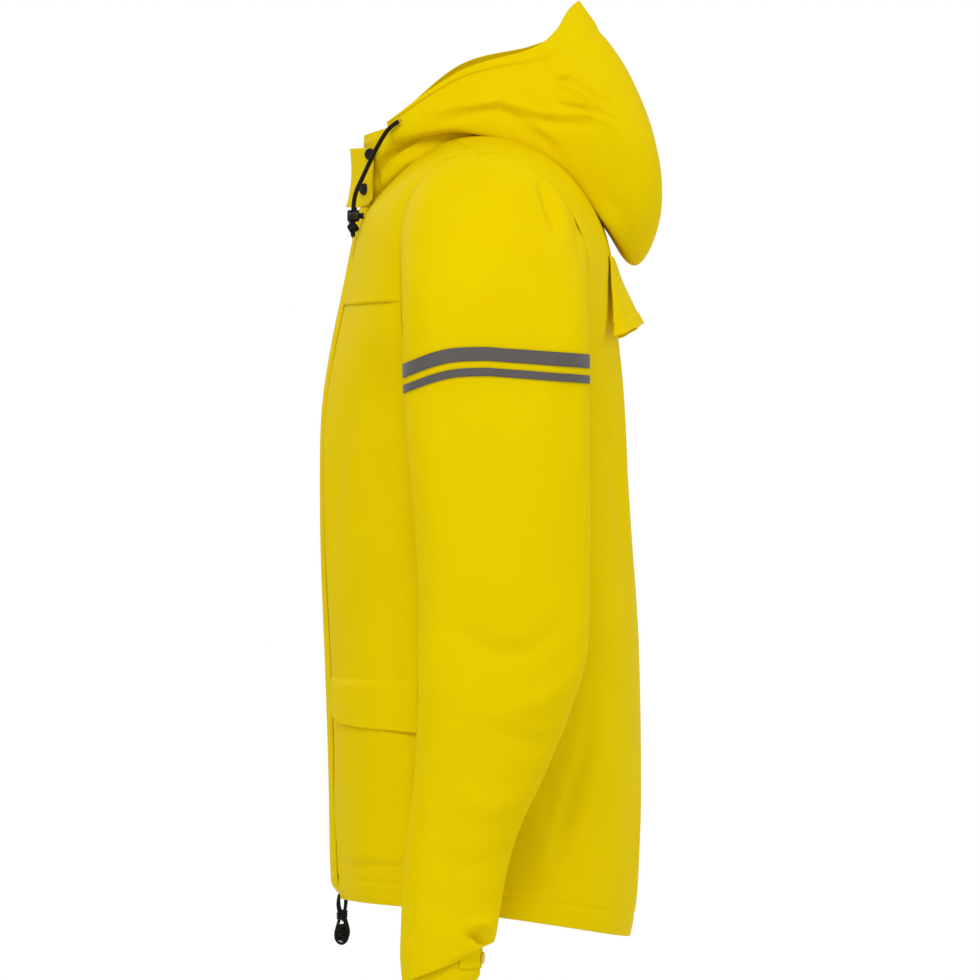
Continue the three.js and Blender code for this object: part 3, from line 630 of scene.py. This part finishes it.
sleeveFolds = [
    ([(60, -34), (67, -56), (76, -84)], 3.4, -9.5),
    ([(70, -30), (80, -58), (88, -90)], 6, 3.6),
    ([(94, -44), (98, -72), (100, -110)], 4, -5),
    ([(96, -150), (70, -240), (58, -330)], 16, 2.5),
    ([(-60, -120), (-40, -230), (-44, -330)], 14, 2.2),
    ([(84, -470), (50, -500), (10, -500), (-30, -476)], 12, -4.5),
    ([(106, -545), (92, -590), (76, -640)], 7, -4.5),
    ([(98, -520), (60, -548), (20, -560)], 12, 3.5),
    ([(74, -590), (40, -590), (0, -570)], 10, -3),
    ([(48, -640), (10, -655), (-30, -640)], 12, 3),
    ([(20, -700), (-10, -712), (-50, -700)], 11, -2.5),
    ([(18, -752), (-20, -762), (-60, -748)], 9, 2.5),
    ([(13, -772), (5, -768), (-2, -762), (-13, -759)], 4.2, -11),
    ([(14, -762), (2, -754), (-12, -752)], 4.5, 3.5),
    ([(2, -796), (-30, -806), (-70, -815)], 7, 3),
    ([(-6, -786), (-36, -790), (-74, -800)], 5, -3),
]


def foldSleeve(places, v, side, ring):
    # folds on the sleeve's outer face, and ripples that fade out at the armhole
    normals = -gridNormals(places, ring)
    flat = places[..., 1:].reshape(-1, 2)
    outer = smooth(normals[..., 0], -0.3, 0.5)
    depth = foldDepth(flat, sleeveFolds).reshape(places.shape[:2]) * outer
    depth += ripples(places, 11 if side > 0 else 17, 120, 1.5, (1, 1, 0.6)) * smooth(v, 0.1, 0.6)
    return sided(places + normals * depth[..., None], side)


def roundGrid(grid, last):
    columns, rows = grid
    return np.meshgrid(np.linspace(0, tau, columns, endpoint=False), np.linspace(0, last, rows))


def sleeveBlend(piece):
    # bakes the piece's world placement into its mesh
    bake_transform(piece)


def makeSleeves():
    last = len(sleeve["rows"])
    for name, side in (("left", 1), ("right", -1)):
        turn, v = roundGrid(sleeve["grid"], last)
        places = foldSleeve(armPoint(turn, v), v, side, True)
        # the sleeve's end blouses down over the cuff, most at the back, and tucks in under itself
        rear = smooth(-np.sin(turn), -0.5, 0.9)
        end = smooth(v, last - 1.5, last)
        wrist = sleeve["rows"][-1]
        back = np.clip((places[..., 1] - wrist[1]) / (wrist[2] - wrist[1]), 0, 1)
        places[..., 2] -= mixed(*sleeve["blouse"], back) * end
        places[..., 1] += 3 * (1 - back) * smooth(v, last - 0.5, last)
        middle = places.mean(axis=1, keepdims=True)
        tuck = smooth(v, last - 0.16, last)[..., None] * 0.22 * rear[..., None] ** 1.5
        places = mixed(places, np.concatenate([np.broadcast_to(middle[..., :2], places[..., :2].shape),
                                               places[..., 2:]], -1), tuck)
        # the seam allowance, tucked under the body's edge
        centre = places[0].mean(axis=0)
        flange = mixed(places[0], centre, 0.022)
        flange[:, 0] = places[0][:, 0] - side * sleeve["seamAllowance"]
        places = np.concatenate([flange[None], places])
        points, faces = clothGrid(places, body["thickness"], ring=True, outwards=-side)
        piece = newPiece(f"sleeve{name.title()}Cloth", points, faces, yellowCloth, None, [f"sleeve_{name}"])
        sleeveBlend(piece)
        turn, v = roundGrid(sleeve["cuffGrid"], len(sleeve["cuffRows"]) - 1)
        x, y, level = armRing(turn, v, "cuffRows")
        level = level + 8 * smooth(-np.sin(turn), 0.2, 1) * smooth(v, 3, 4)
        places = sided(np.stack([x, y, level], -1), side)
        pleats = 0.8 * np.sin(9 * turn + 1) * (1 - smooth(v, 0.4, 2.4)) * smooth(-np.sin(turn), -0.2, 0.5) - 0.4
        points, faces = clothGrid(places, sleeve["cuffWall"], ring=True, lift=pleats, outwards=-side)
        piece = newPiece(f"cuff{name.title()}Cloth", points, faces, yellowCloth, f"{name}_sleeve",
                         [f"cuff_{name}"])
    print("sleeves made")


bands = {"top": -199.0, "wide": 13.5, "narrow": 8.0, "gap": 7.0, "standOff": 0.5, "thickness": 0.8}


def makeBands():
    for name, side in (("left", 1), ("right", -1)):
        columns, rows = 220, 16
        turns = np.linspace(0, tau, 1200, endpoint=False)
        kept = turns[armhole(turns)[0] + sleeve["armpit"] > bands["top"] + 6]
        for kind, drop, width in (("wide", 0, bands["wide"]),
                                  ("narrow", bands["wide"] + bands["gap"], bands["narrow"])):
            u, v = spread(columns, rows)
            turn = mixed(kept[0], kept[-1], u)
            y = armRing(turn, np.zeros_like(turn))[1]
            dip = 0.38 * 9 * np.logaddexp(0, (-30 - y) / 9) + 0.075 * np.maximum(0, y - 10)
            level = bands["top"] - drop - width * v - dip
            low, high = np.zeros_like(turn), np.full_like(turn, 2.0)
            for _ in range(24):  # halving, until the place on the sleeve has the band's level
                middle = (low + high) / 2
                above = armPoint(turn, middle)[..., 2] > level
                low, high = np.where(above, middle, low), np.where(above, high, middle)
            places = foldSleeve(armPoint(turn, low), low, side, False)
            points, faces = clothGrid(places, bands["thickness"], lift=bands["standOff"] + bands["thickness"],
                                      outwards=-side)
            piece = newPiece(f"reflectiveBand{kind.title()}{name.title()}", points, faces, tapeGrey, None,
                             [f"reflective_band_{kind}_{name}"])
            piece.data.materials.append(tapeEdge)
            for polygon in piece.data.polygons:
                row = min((polygon.vertices[k] % (columns * rows)) // columns for k in range(4))
                polygon.material_index = int(row < 1 or row > rows - 3)
            sleeveBlend(piece)
    print("bands made")


collar = {
    "squareness": 0.9,
    "wall": 3.0,
    # foot and top: front height, back height, side height, half width, front and back reach
    "rows": [[-68, 2, 7, 82.5, -117.5, 60.5], [-26, 26, 24, 79, -116.5, 57], [17, 47, 37, 76, -117, 52]],
    "opening": 0.012,
    "tab": (-104, -57, -53, 4),  # first and last turn in degrees, foot and top
    "tabWall": 2.4,
}
collarFolds = [
    ([(-110, -22), (-98, -8), (-80, 4), (-56, 18)], 3.2, -7.5),
    ([(-112, -36), (-98, -30), (-84, -14), (-66, -6)], 6, 3),
    ([(-116, -50), (-100, -42), (-82, -26), (-66, -12)], 3, -6),
    ([(-86, 12), (-66, 14), (-48, 20)], 5, 2.5),
    ([(-104, -20), (-102, -34), (-104, -44)], 3.4, -3.5),
    ([(-120, -78), (-112, -70), (-106, -56)], 3, -4),
]


def collarPoint(turn, v):
    turn, v = np.broadcast_arrays(np.asarray(turn, float), np.asarray(v, float))
    zFront, zBack, zSide, half, front, back = np.moveaxis(throughRows(collar["rows"], v * 2), -1, 0)
    fore = power(np.sin(turn), collar["squareness"])
    middle = (zFront + zBack) / 2
    return np.stack([half * power(np.cos(turn), collar["squareness"]), (front + back) / 2 + (back - front) / 2 * fore,
                     middle + (zBack - zFront) / 2 * fore + (zSide - middle) * (1 - fore ** 2)], -1)


def disc(profile, steps=48):
    # a turned solid: its profile is radius and height from foot to top, both ends on the axis
    angle = np.linspace(0, tau, steps, endpoint=False)
    points = [(0, 0, profile[0][1])]
    for r, z in profile:
        points += [(r * cos(t), r * sin(t), z) for t in angle]
    points.append((0, 0, profile[-1][1]))
    faces = [(0, 1 + (k + 1) % steps, 1 + k) for k in range(steps)]
    for j in range(len(profile) - 1):
        a, b = 1 + j * steps, 1 + (j + 1) * steps
        faces += [(a + k, a + (k + 1) % steps, b + (k + 1) % steps, b + k) for k in range(steps)]
    a = 1 + (len(profile) - 1) * steps
    faces += [(len(points) - 1, a + k, a + (k + 1) % steps) for k in range(steps)]
    return np.array(points, float), faces


def stood(points, centre, direction):
    turned = np.array(Vector(direction).to_track_quat("Z", "Y").to_matrix())
    return points @ turned.T + np.array(centre)


# a snap cap's radius and height, from its rim over the pressed ring to its crown
capProfile = [(5.4, 0), (6.0, 0.5), (6.1, 1.4), (5.7, 2.3), (4.9, 2.75), (4.5, 2.55), (4.1, 2.75), (2.6, 3.2),
              (0.9, 3.35)]


def boxCentre(node):
    low, high = (np.array(corner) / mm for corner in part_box(node))
    return (low + high) / 2


def makeCap(name, node, centre, normal, ridesOn, material):
    points, faces = disc(capProfile)
    return newPiece(name, stood(points, centre, normal), faces, material, ridesOn, [node])


def makeCollar():
    opening = collar["opening"]
    u, v = spread(260, 60)
    places = collarPoint(mixed(-pi / 2 + opening, pi * 1.5 - opening, u), v)
    normals = gridNormals(places, False)
    flat = places[..., 1:].reshape(-1, 2)
    depth = foldDepth(flat, collarFolds).reshape(u.shape) * smooth(np.abs(normals[..., 0]), 0.1, 0.5)
    depth += ripples(places, 23, 60, 0.8)
    depth *= smooth(np.abs(places[..., 0]), 8, 30)
    seam = 0.6 * np.exp(-((v - 0.86) / 0.03) ** 2)
    points, faces = clothGrid(places + normals * depth[..., None], collar["wall"], lift=seam)
    piece = newPiece("collarCloth", points, faces, yellowCloth, "shell", ["collar"])

    first, last, foot, top = collar["tab"]
    u, v = spread(90, 50)
    turn = np.radians(mixed(first, last, u))
    low = collarPoint(turn, 0)[..., 2]
    high = collarPoint(turn, 1)[..., 2]
    level = mixed(np.maximum(foot, low + 3) - 3 * np.sin(pi * u), top, v)
    places = collarPoint(turn, np.clip((level - low) / (high - low), 0, 1))
    places[..., 2] = level
    # it stands out in a loose bow in front of the throat, with its top pushed in
    bow = np.exp(-((np.degrees(turn) + 92) / 13) ** 2) * (8.5 + 3.2 * (1 - v) - 2.4 * np.sin(pi * v))
    lift = 3.4 + collar["tabWall"] + bow + 0.35 * edgeHem(v, 1.2, 0.08)
    points, faces = clothGrid(places, collar["tabWall"], lift=lift)
    piece = newPiece("throatTabCloth", points, faces, yellowCloth, "tab", ["throat_tab"])
    normals = gridNormals(places, False)
    for name in ("upper", "lower"):
        node = f"tab_snap_{name}"
        centre = boxCentre(node)
        near = np.linalg.norm(places - centre - np.array([3.5, 5.5, 0]), axis=-1)
        j, i = np.unravel_index(near.argmin(), near.shape)
        facing = unit(normals[j, i] + np.array([0.8, 0, 0]))
        makeCap(f"throatSnap{name.title()}", node, places[j, i] + normals[j, i] * lift[j, i], facing, "tab",
                blackEnamel)
    print("collar made")


stormFlap = {
    "left": 40.0,
    "right": -36.0,
    "foot": -744.0,
    "top": -56.0,
    "standOff": 0.9,
    "arch": 4.8,  # how far it stands out over the zip
    "thickness": 1.3,
}


def makeStormFlap():
    f = stormFlap
    u, v = spread(60, 300)
    level = mixed(f["foot"], f["top"], v)
    x = mixed(f["right"], f["left"], u)
    section = frontSection(level)
    places = bodyPoint(-turnAtX(section, np.abs(x)), section)
    places[..., 0] *= np.sign(x + 0.001)
    smoothFront = places + gridNormals(places, False) * foldBody(places)[..., None]
    # arched over the zip, with both long edges lying on the front
    arch = np.clip(np.cos(pi / 2 * np.clip((x - 2) / 38, -1, 1)), 0, 1) ** 0.5
    places = mixed(dressed(places, 1), smoothFront, arch[..., None])
    lift = f["standOff"] + f["arch"] * arch
    lift += 3.0 * smooth(level, -88, -60) * arch - 4.0 * (1 - smooth(v, 0, 0.018)) ** 2
    lift += 0.5 * (smooth(u, 0.80, 0.84) - 0.6 * np.exp(-((u - 0.82) / 0.012) ** 2))
    points, faces = clothGrid(places, f["thickness"], lift=lift)
    piece = newPiece("stormFlapCloth", points, faces, yellowCloth, "front_flap", ["storm_flap"])
    print("storm flap made")


pocket = {"turns": (-78, -22), "low": 1.22, "high": 2.58, "depth": 2.8}
pocketFlap = {"turns": (-79, -20), "top": -522.0, "front": -553.0, "rear": -582.0, "standOff": 4.6}


def makePockets():
    for name, side in (("left", 1), ("right", -1)):
        u, v = spread(110, 110)
        turn = np.radians(mixed(*pocket["turns"], u))
        places = dressed(sided(bodyPoint(turn, mixed(pocket["low"], pocket["high"], v)), side), side)
        puff = np.clip(np.sin(pi * u), 0, 1) ** 0.5 * np.minimum(1, v * 9) ** 0.6
        gape = smooth(v, 0.75, 1) * np.exp(-((u - 0.74) / 0.12) ** 2)
        lift = mixed(-0.9, 0.4, smooth(np.minimum(v * 12, np.minimum(u, 1 - u) * 16))) + pocket["depth"] * puff + gape
        points, faces = clothGrid(places, body["thickness"], lift=lift, outwards=side)
        piece = newPiece(f"pocket{name.title()}Cloth", points, faces, yellowCloth, "shell",
                         [f"pocket_{name}"])
        f = pocketFlap
        u, v = spread(110, 60)
        turn = np.radians(mixed(*f["turns"], u))
        foot = f["front"] - (f["front"] - f["rear"]) * (0.4 * u + 0.6 * (1 - np.exp(-u / 0.09)))
        places = dressed(sided(bodyPoint(turn, frontSection(mixed(foot, f["top"], v))), side), side)
        lift = 0.5 + f["standOff"] * (1 - v) ** 0.5 * (0.45 + 0.55 * np.clip(np.sin(pi * u), 0, 1) ** 0.4)
        lift = mixed(lift + edgeHem(v, 0.25, 0.13), -0.8, smooth(v, 0.72, 0.97))
        points, faces = clothGrid(places, body["thickness"], lift=lift, outwards=side)
        piece = newPiece(f"pocketFlap{name.title()}", points, faces, yellowCloth, f"{name}_pocket_flap",
                         [f"pocket_flap_{name}"])
    print("pockets made")


hood = {
    "thickness": 1.6,
    "hem": 0.93,  # where the rim's drawcord channel starts, along each rib
    # each rib runs from the neck seam under the pouch and up to the rim, from the centre back round to the corner
    "ribs": [
        [[0, 66, 18], [0, 98, -34], [0, 130, -80], [0, 157, -111], [0, 180, -62], [0, 178, 6], [0, 148, 80],
         [0, 98, 152]],
        [[34, 62, 18], [42, 94, -29], [48, 124, -71], [50, 149, -99], [54, 173, -52], [56, 171, 14], [48, 142, 80],
         [32, 88, 142]],
        [[64, 50, 18], [82, 84, -19], [90, 107, -47], [90, 130, -73], [92, 149, -34], [94, 144, 22], [84, 120, 72],
         [66, 74, 119]],
        [[84, 20, 18], [104, 40, 8], [114, 60, -3], [118, 80, -9], [120, 92, 14], [118, 86, 46], [110, 70, 74],
         [98, 50, 101]],
        [[88, -28, 19], [98, -26, 19], [106, -20, 21], [110, -14, 28], [111, -10, 40], [110, -9, 52],
         [106, -12, 65], [100, -20, 79]],
        [[71, -86, 8], [74, -86, 10], [77, -87, 13], [78, -88, 16], [78, -89, 19], [77, -90, 22], [75, -91, 25],
         [72, -93, 28]],
    ],
}
hoodFolds = [
    # fore and aft against height, wider and deeper towards the crown
    ([(-52, 38), (-20, 44), (20, 50), (60, 38), (112, 33)], 4.5, 3.4),
    ([(-40, 28), (-10, 36), (20, 40), (60, 28), (110, 25)], 5.5, -3.0),
    ([(10, 38), (40, 26), (66, 8), (84, -12)], 6, -2.4),
    ([(26, 44), (54, 30), (80, 8)], 5, 2.2),
    ([(76, 76), (98, 68), (118, 52), (134, 42)], 3.0, -4.6),
    ([(68, 72), (92, 60), (114, 44), (130, 34)], 3.0, 3.6),
    ([(66, 72), (86, 72), (96, 74)], 3.0, -2.4),
    ([(80, 46), (104, 42), (118, 32)], 2.6, -4.0),
    ([(90, 38), (112, 34), (134, 22)], 3.0, 2.0),
    ([(94, 106), (84, 126), (90, 146)], 8, -2.6),
    ([(120, 60), (140, 30), (154, -10)], 14, 2.2),
    ([(150, -90), (140, -60), (118, -40)], 8, -2.0),
    ([(62, 96), (70, 84), (78, 76)], 5, -2.6),
]


def makeHood():
    columns, rows = 460, 260
    ws, vs = np.linspace(-1, 1, columns), np.linspace(0, 1, rows)
    ribs = np.array(hood["ribs"], float)
    ribs = np.concatenate([ribs[:0:-1] * np.array([-1, 1, 1]), ribs])
    # the far side stands a little higher over the collar than the near side
    lifts = np.exp(-((np.arange(len(ribs)) - 1.45) / 0.55) ** 2)[:, None] * smooth(np.linspace(0, 1, 8), 0.5, 1)
    ribs[..., 2] += 21 * lifts
    ribs[..., 1] -= 3 * lifts
    along = np.array([throughRows(ribs[:, k], (ws + 1) / 2 * (len(ribs) - 1)) for k in range(ribs.shape[1])])
    places = np.array([throughRows(along, np.full(1, v * (len(along) - 1)))[0] for v in vs])
    normals = gridNormals(places, False)
    flat = places[..., 1:].reshape(-1, 2)
    v = np.broadcast_to(vs[:, None], places.shape[:2])
    face = smooth(np.abs(normals[..., 0]), 0.05, 0.5)
    depth = foldDepth(flat, hoodFolds).reshape(v.shape) * face * np.where(places[..., 0] > 0, 1, 0.7)
    depth += ripples(places, 41, 90, 1.6) * smooth(v, 0.02, 0.2)
    fade = smooth(v, 0, 0.08) * (1 - 0.6 * smooth(v, 0.93, 1))
    places = places - normals * (depth * fade)[..., None]
    channel = 1.5 * smooth(v, hood["hem"], hood["hem"] + 0.02) - 0.9 * np.exp(-((v - hood["hem"]) / 0.006) ** 2)
    points, faces = clothGrid(places, hood["thickness"], lift=channel + 0.8, outwards=-1)
    piece = newPiece("hoodCloth", points, faces, yellowCloth, None,
                     ["hood_pouch_left", "hood_pouch_right", "hood_side_left", "hood_side_right"])
    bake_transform(piece)
    print("hood made")


cuffTab = {"turns": (202, 268), "level": -803.0, "width": 20.0, "standOff": 0.9, "thickness": 1.0}


def makeCuffTabs():
    t = cuffTab
    for name, side in (("left", 1), ("right", -1)):
        u, v = spread(70, 24)
        turn = np.radians(mixed(*t["turns"], u))
        tip = 1 - 0.16 * smooth(u, 0.9, 1) ** 2
        level = t["level"] + t["width"] * (v - 0.5) * tip
        levels = np.array(sleeve["cuffRows"])[::-1, 0]
        row = np.interp(level, levels, np.arange(len(levels) - 1, -1, -1))
        x, y, _ = armRing(turn, row, "cuffRows")
        places = sided(np.stack([x, y, level], -1), side)
        points, faces = clothGrid(places, t["thickness"], lift=t["standOff"], outwards=side)
        newPiece(f"cuffTab{name.title()}", points, faces, yellowCloth, f"{name}_cuff_tab",
                 [f"cuff_tab_{name}"])
        normals = gridNormals(places, False) * side
        middle, nearTip = 12, 59
        facing = normals[middle, nearTip]
        centre = places[middle, nearTip] + facing * (t["standOff"] - 0.2)
        makeCap(f"cuffSnap{name.title()}", f"cuff_snap_{name}", centre, facing, f"{name}_cuff_tab", yellowEnamel)
    print("cuff tabs made")


def refinish(material, *nodes):
    for node in nodes:
        part = bpy.data.objects[node]
        part.data.materials.clear()
        part.data.materials.append(material)


def finishNodes():
    refinish(innerCloth, "inner_placket")
    refinish(blackAcetal, "zip_chain_left", "zip_chain_right")
    refinish(nickel, "zip_slider", "zip_pull", "zip_stop", "collar_stud_upper", "collar_stud_lower")
    refinish(blackCord, "hanger_loop")


def makeLock(name, side):
    # a barrel lock: a ribbed body that the cord passes down through, and the spring plunger in its rear end
    centre = sided(np.array(hoodCord["lock"], float), side)
    barrel = [(4.6, -6.2), (5.6, -5.6), (6.0, -4.6), (6.0, -1.2), (5.6, -0.9), (5.6, 0.9), (6.0, 1.2), (6.0, 4.4),
              (5.4, 5.6), (4.6, 6.0), (3.2, 6.0)]
    points, faces = disc(barrel)
    newPiece(f"cordLock{name.title()}", stood(points, centre, (0, 1, 0)), faces, blackAcetal, f"{name}_lock",
             [f"cord_lock_{name}"])
    button = [(2.9, 4.6), (2.9, 8.4), (3.4, 8.7), (3.5, 9.4), (3.2, 10.1), (2.2, 10.5)]
    points, faces = disc(button)
    newPiece(f"cordLockPlunger{name.title()}", stood(points, centre, (0, 1, 0)), faces, blackAcetal,
             f"{name}_plunger", [f"cord_lock_plunger_{name}"])


def eyelet(bore, rim):
    ring = [(bore, -0.7), (rim - 0.4, -0.7), (rim, -0.1), (rim - 0.4, 0.6), (bore + 0.5, 0.9), (bore, 0.5)]
    steps = 40
    angle = np.linspace(0, tau, steps, endpoint=False)
    points = np.array([(r * cos(a), r * sin(a), z) for r, z in ring for a in angle])
    faces = [(j * steps + k, j * steps + (k + 1) % steps, (j + 1) % len(ring) * steps + (k + 1) % steps,
              (j + 1) % len(ring) * steps + k) for j in range(len(ring)) for k in range(steps)]
    return points, faces


def makeCords():
    for name, side in (("left", 1), ("right", -1)):
        places, length = curveThrough(sided(np.array(hoodCord["route"], float), side), 30)
        drawcord = newCurve(f"hoodCord{name.title()}", places, hoodCord["diameter"], blackCord, "shell",
                            [f"hood_cord_{name}"])
        t = np.linspace(0, tau, 120, endpoint=False)
        # an overhand knot drawn tight
        knot = np.stack([(3.0 + 1.5 * np.cos(3 * t)) * np.cos(2 * t), (3.0 + 1.5 * np.cos(3 * t)) * np.sin(2 * t),
                         2.2 * np.sin(3 * t)], -1)
        knot = knot + sided(np.array(hoodCord["knot"], float), side)
        tied = newCurve(f"hoodCordKnot{name.title()}", knot, hoodCord["knotStrand"], blackCord, "shell",
                        [f"hood_cord_knot_{name}"], cyclic=True)
        makeLock(name, side)
        points, faces = eyelet(*hoodCord["eyelet"])
        newPiece(f"hoodEyelet{name.title()}", stood(points, boxCentre(f"hood_eyelet_{name}"), (side, 0, 0)), faces,
                 yellowEnamel, "shell", [f"hood_eyelet_{name}"])
        points, faces = eyelet(*hemCord["eyelet"])
        exits = [sided(np.array(place), side) for place in hemCord["exits"]]
        points = np.concatenate([points + place for place in exits])
        faces = faces + [tuple(k + len(points) // 2 for k in face) for face in faces]
        newPiece(f"hemEyelets{name.title()}", points, faces, yellowEnamel, "shell", [f"hem_eyelet_{name}"])
        # both ends go on up through the eyelets into the hem
        ends = np.array(hemCord["hidden"], float)
        route = np.concatenate([ends[:1], np.array(hemCord["route"], float), ends[1:]])
        places, length = curveThrough(sided(route, side), 44)
        loop = newCurve(f"hemCord{name.title()}", places, hemCord["diameter"], blackCord, "shell",
                        [f"hem_cord_{name}"])
        t = np.linspace(0, tau * 3, 150)
        wrap = np.stack([3.1 * np.cos(t), 3.9 * np.sin(t), np.linspace(-3.6, 3.6, 150)], -1)
        wrap = wrap + sided(np.array(hemCord["bead"], float), side)
        wound = newCurve(f"hemCordKnot{name.title()}", wrap[::3], hemCord["knotStrand"], blackCord, "shell",
                         [f"hem_cord_bead_{name}"])
        # the rest of the cord, wound in and out of the loop into a tight figure of eight
        t = np.linspace(0, tau * 2, 120, endpoint=False)
        eight = np.stack([2.6 * np.cos(t * 1.5), 3.4 * np.sin(t), 5.2 * np.sin(t * 0.5)], -1)
        eight = eight + sided(np.array(hemCord["tail"], float), side)
        tail = newCurve(f"hemCordTail{name.title()}", eight, hemCord["tailStrand"], blackCord, "shell",
                        cyclic=True)
    print("cords made")


makeCamera()
makeCords()
makeBody()
makeYokes()
makeSleeves()
makeBands()
makeCollar()
makeStormFlap()
makePockets()
makeHood()
makeCuffTabs()
finishNodes()


studio = {
    "floorLevel": -1.15,
    "floorRadius": 7,
    "room": 0.62,
    "lights": {
        # place, what it points at, width and power
        "keyLight": ((2.7, -0.3, 1.9), (0, 0, 0), 1.4, 51),
        "fillLight": ((-2.8, -2.6, 1.2), (0, 0, -0.3), 2.4, 40),
        "rearLight": ((-1.2, 3.6, 1.4), (0, 0, -0.3), 2.4, 40),
    },
}


def makeStage():
    bpy.ops.mesh.primitive_circle_add(vertices=96, radius=studio["floorRadius"], fill_type="NGON",
                                      location=(0, 0, studio["floorLevel"]))
    floor = bpy.context.object
    floor.name = "studioFloor"
    material, _, _ = newMaterial("paleFloor", "#F4F4F2", 0.9)
    floor.data.materials.append(material)
    world = bpy.data.worlds.new("studioWorld")
    bpy.context.scene.world = world
    world.use_nodes = True
    tree = world.node_tree
    room = tree.nodes["Background"]
    room.inputs[0].default_value = (1, 1, 1, 1)
    room.inputs[1].default_value = studio["room"]
    # the backdrop itself is lit to white, apart from the light that it gives the jacket
    white = addNode(tree, "ShaderNodeBackground", {0: (1, 1, 1, 1), 1: 1.0})
    seen = addNode(tree, "ShaderNodeLightPath").outputs["Is Camera Ray"]
    either = addNode(tree, "ShaderNodeMixShader", {}, {0: seen, 1: room.outputs[0], 2: white.outputs[0]})
    tree.links.new(either.outputs[0], tree.nodes["World Output"].inputs[0])


def addAreaLight(name, place, target, size, power):
    light = bpy.data.lights.new(name, "AREA")
    light.shape = "DISK"
    light.size = size
    light.energy = power
    lamp = bpy.data.objects.new(name, light)
    lamp.location = place
    lamp.rotation_euler = (Vector(target) - Vector(place)).to_track_quat("-Z", "Y").to_euler()
    bpy.context.collection.objects.link(lamp)


bpy.context.scene.view_settings.view_transform = "Standard"
makeStage()
for name, values in studio["lights"].items():
    addAreaLight(name, *values)
print("floor and lights made")
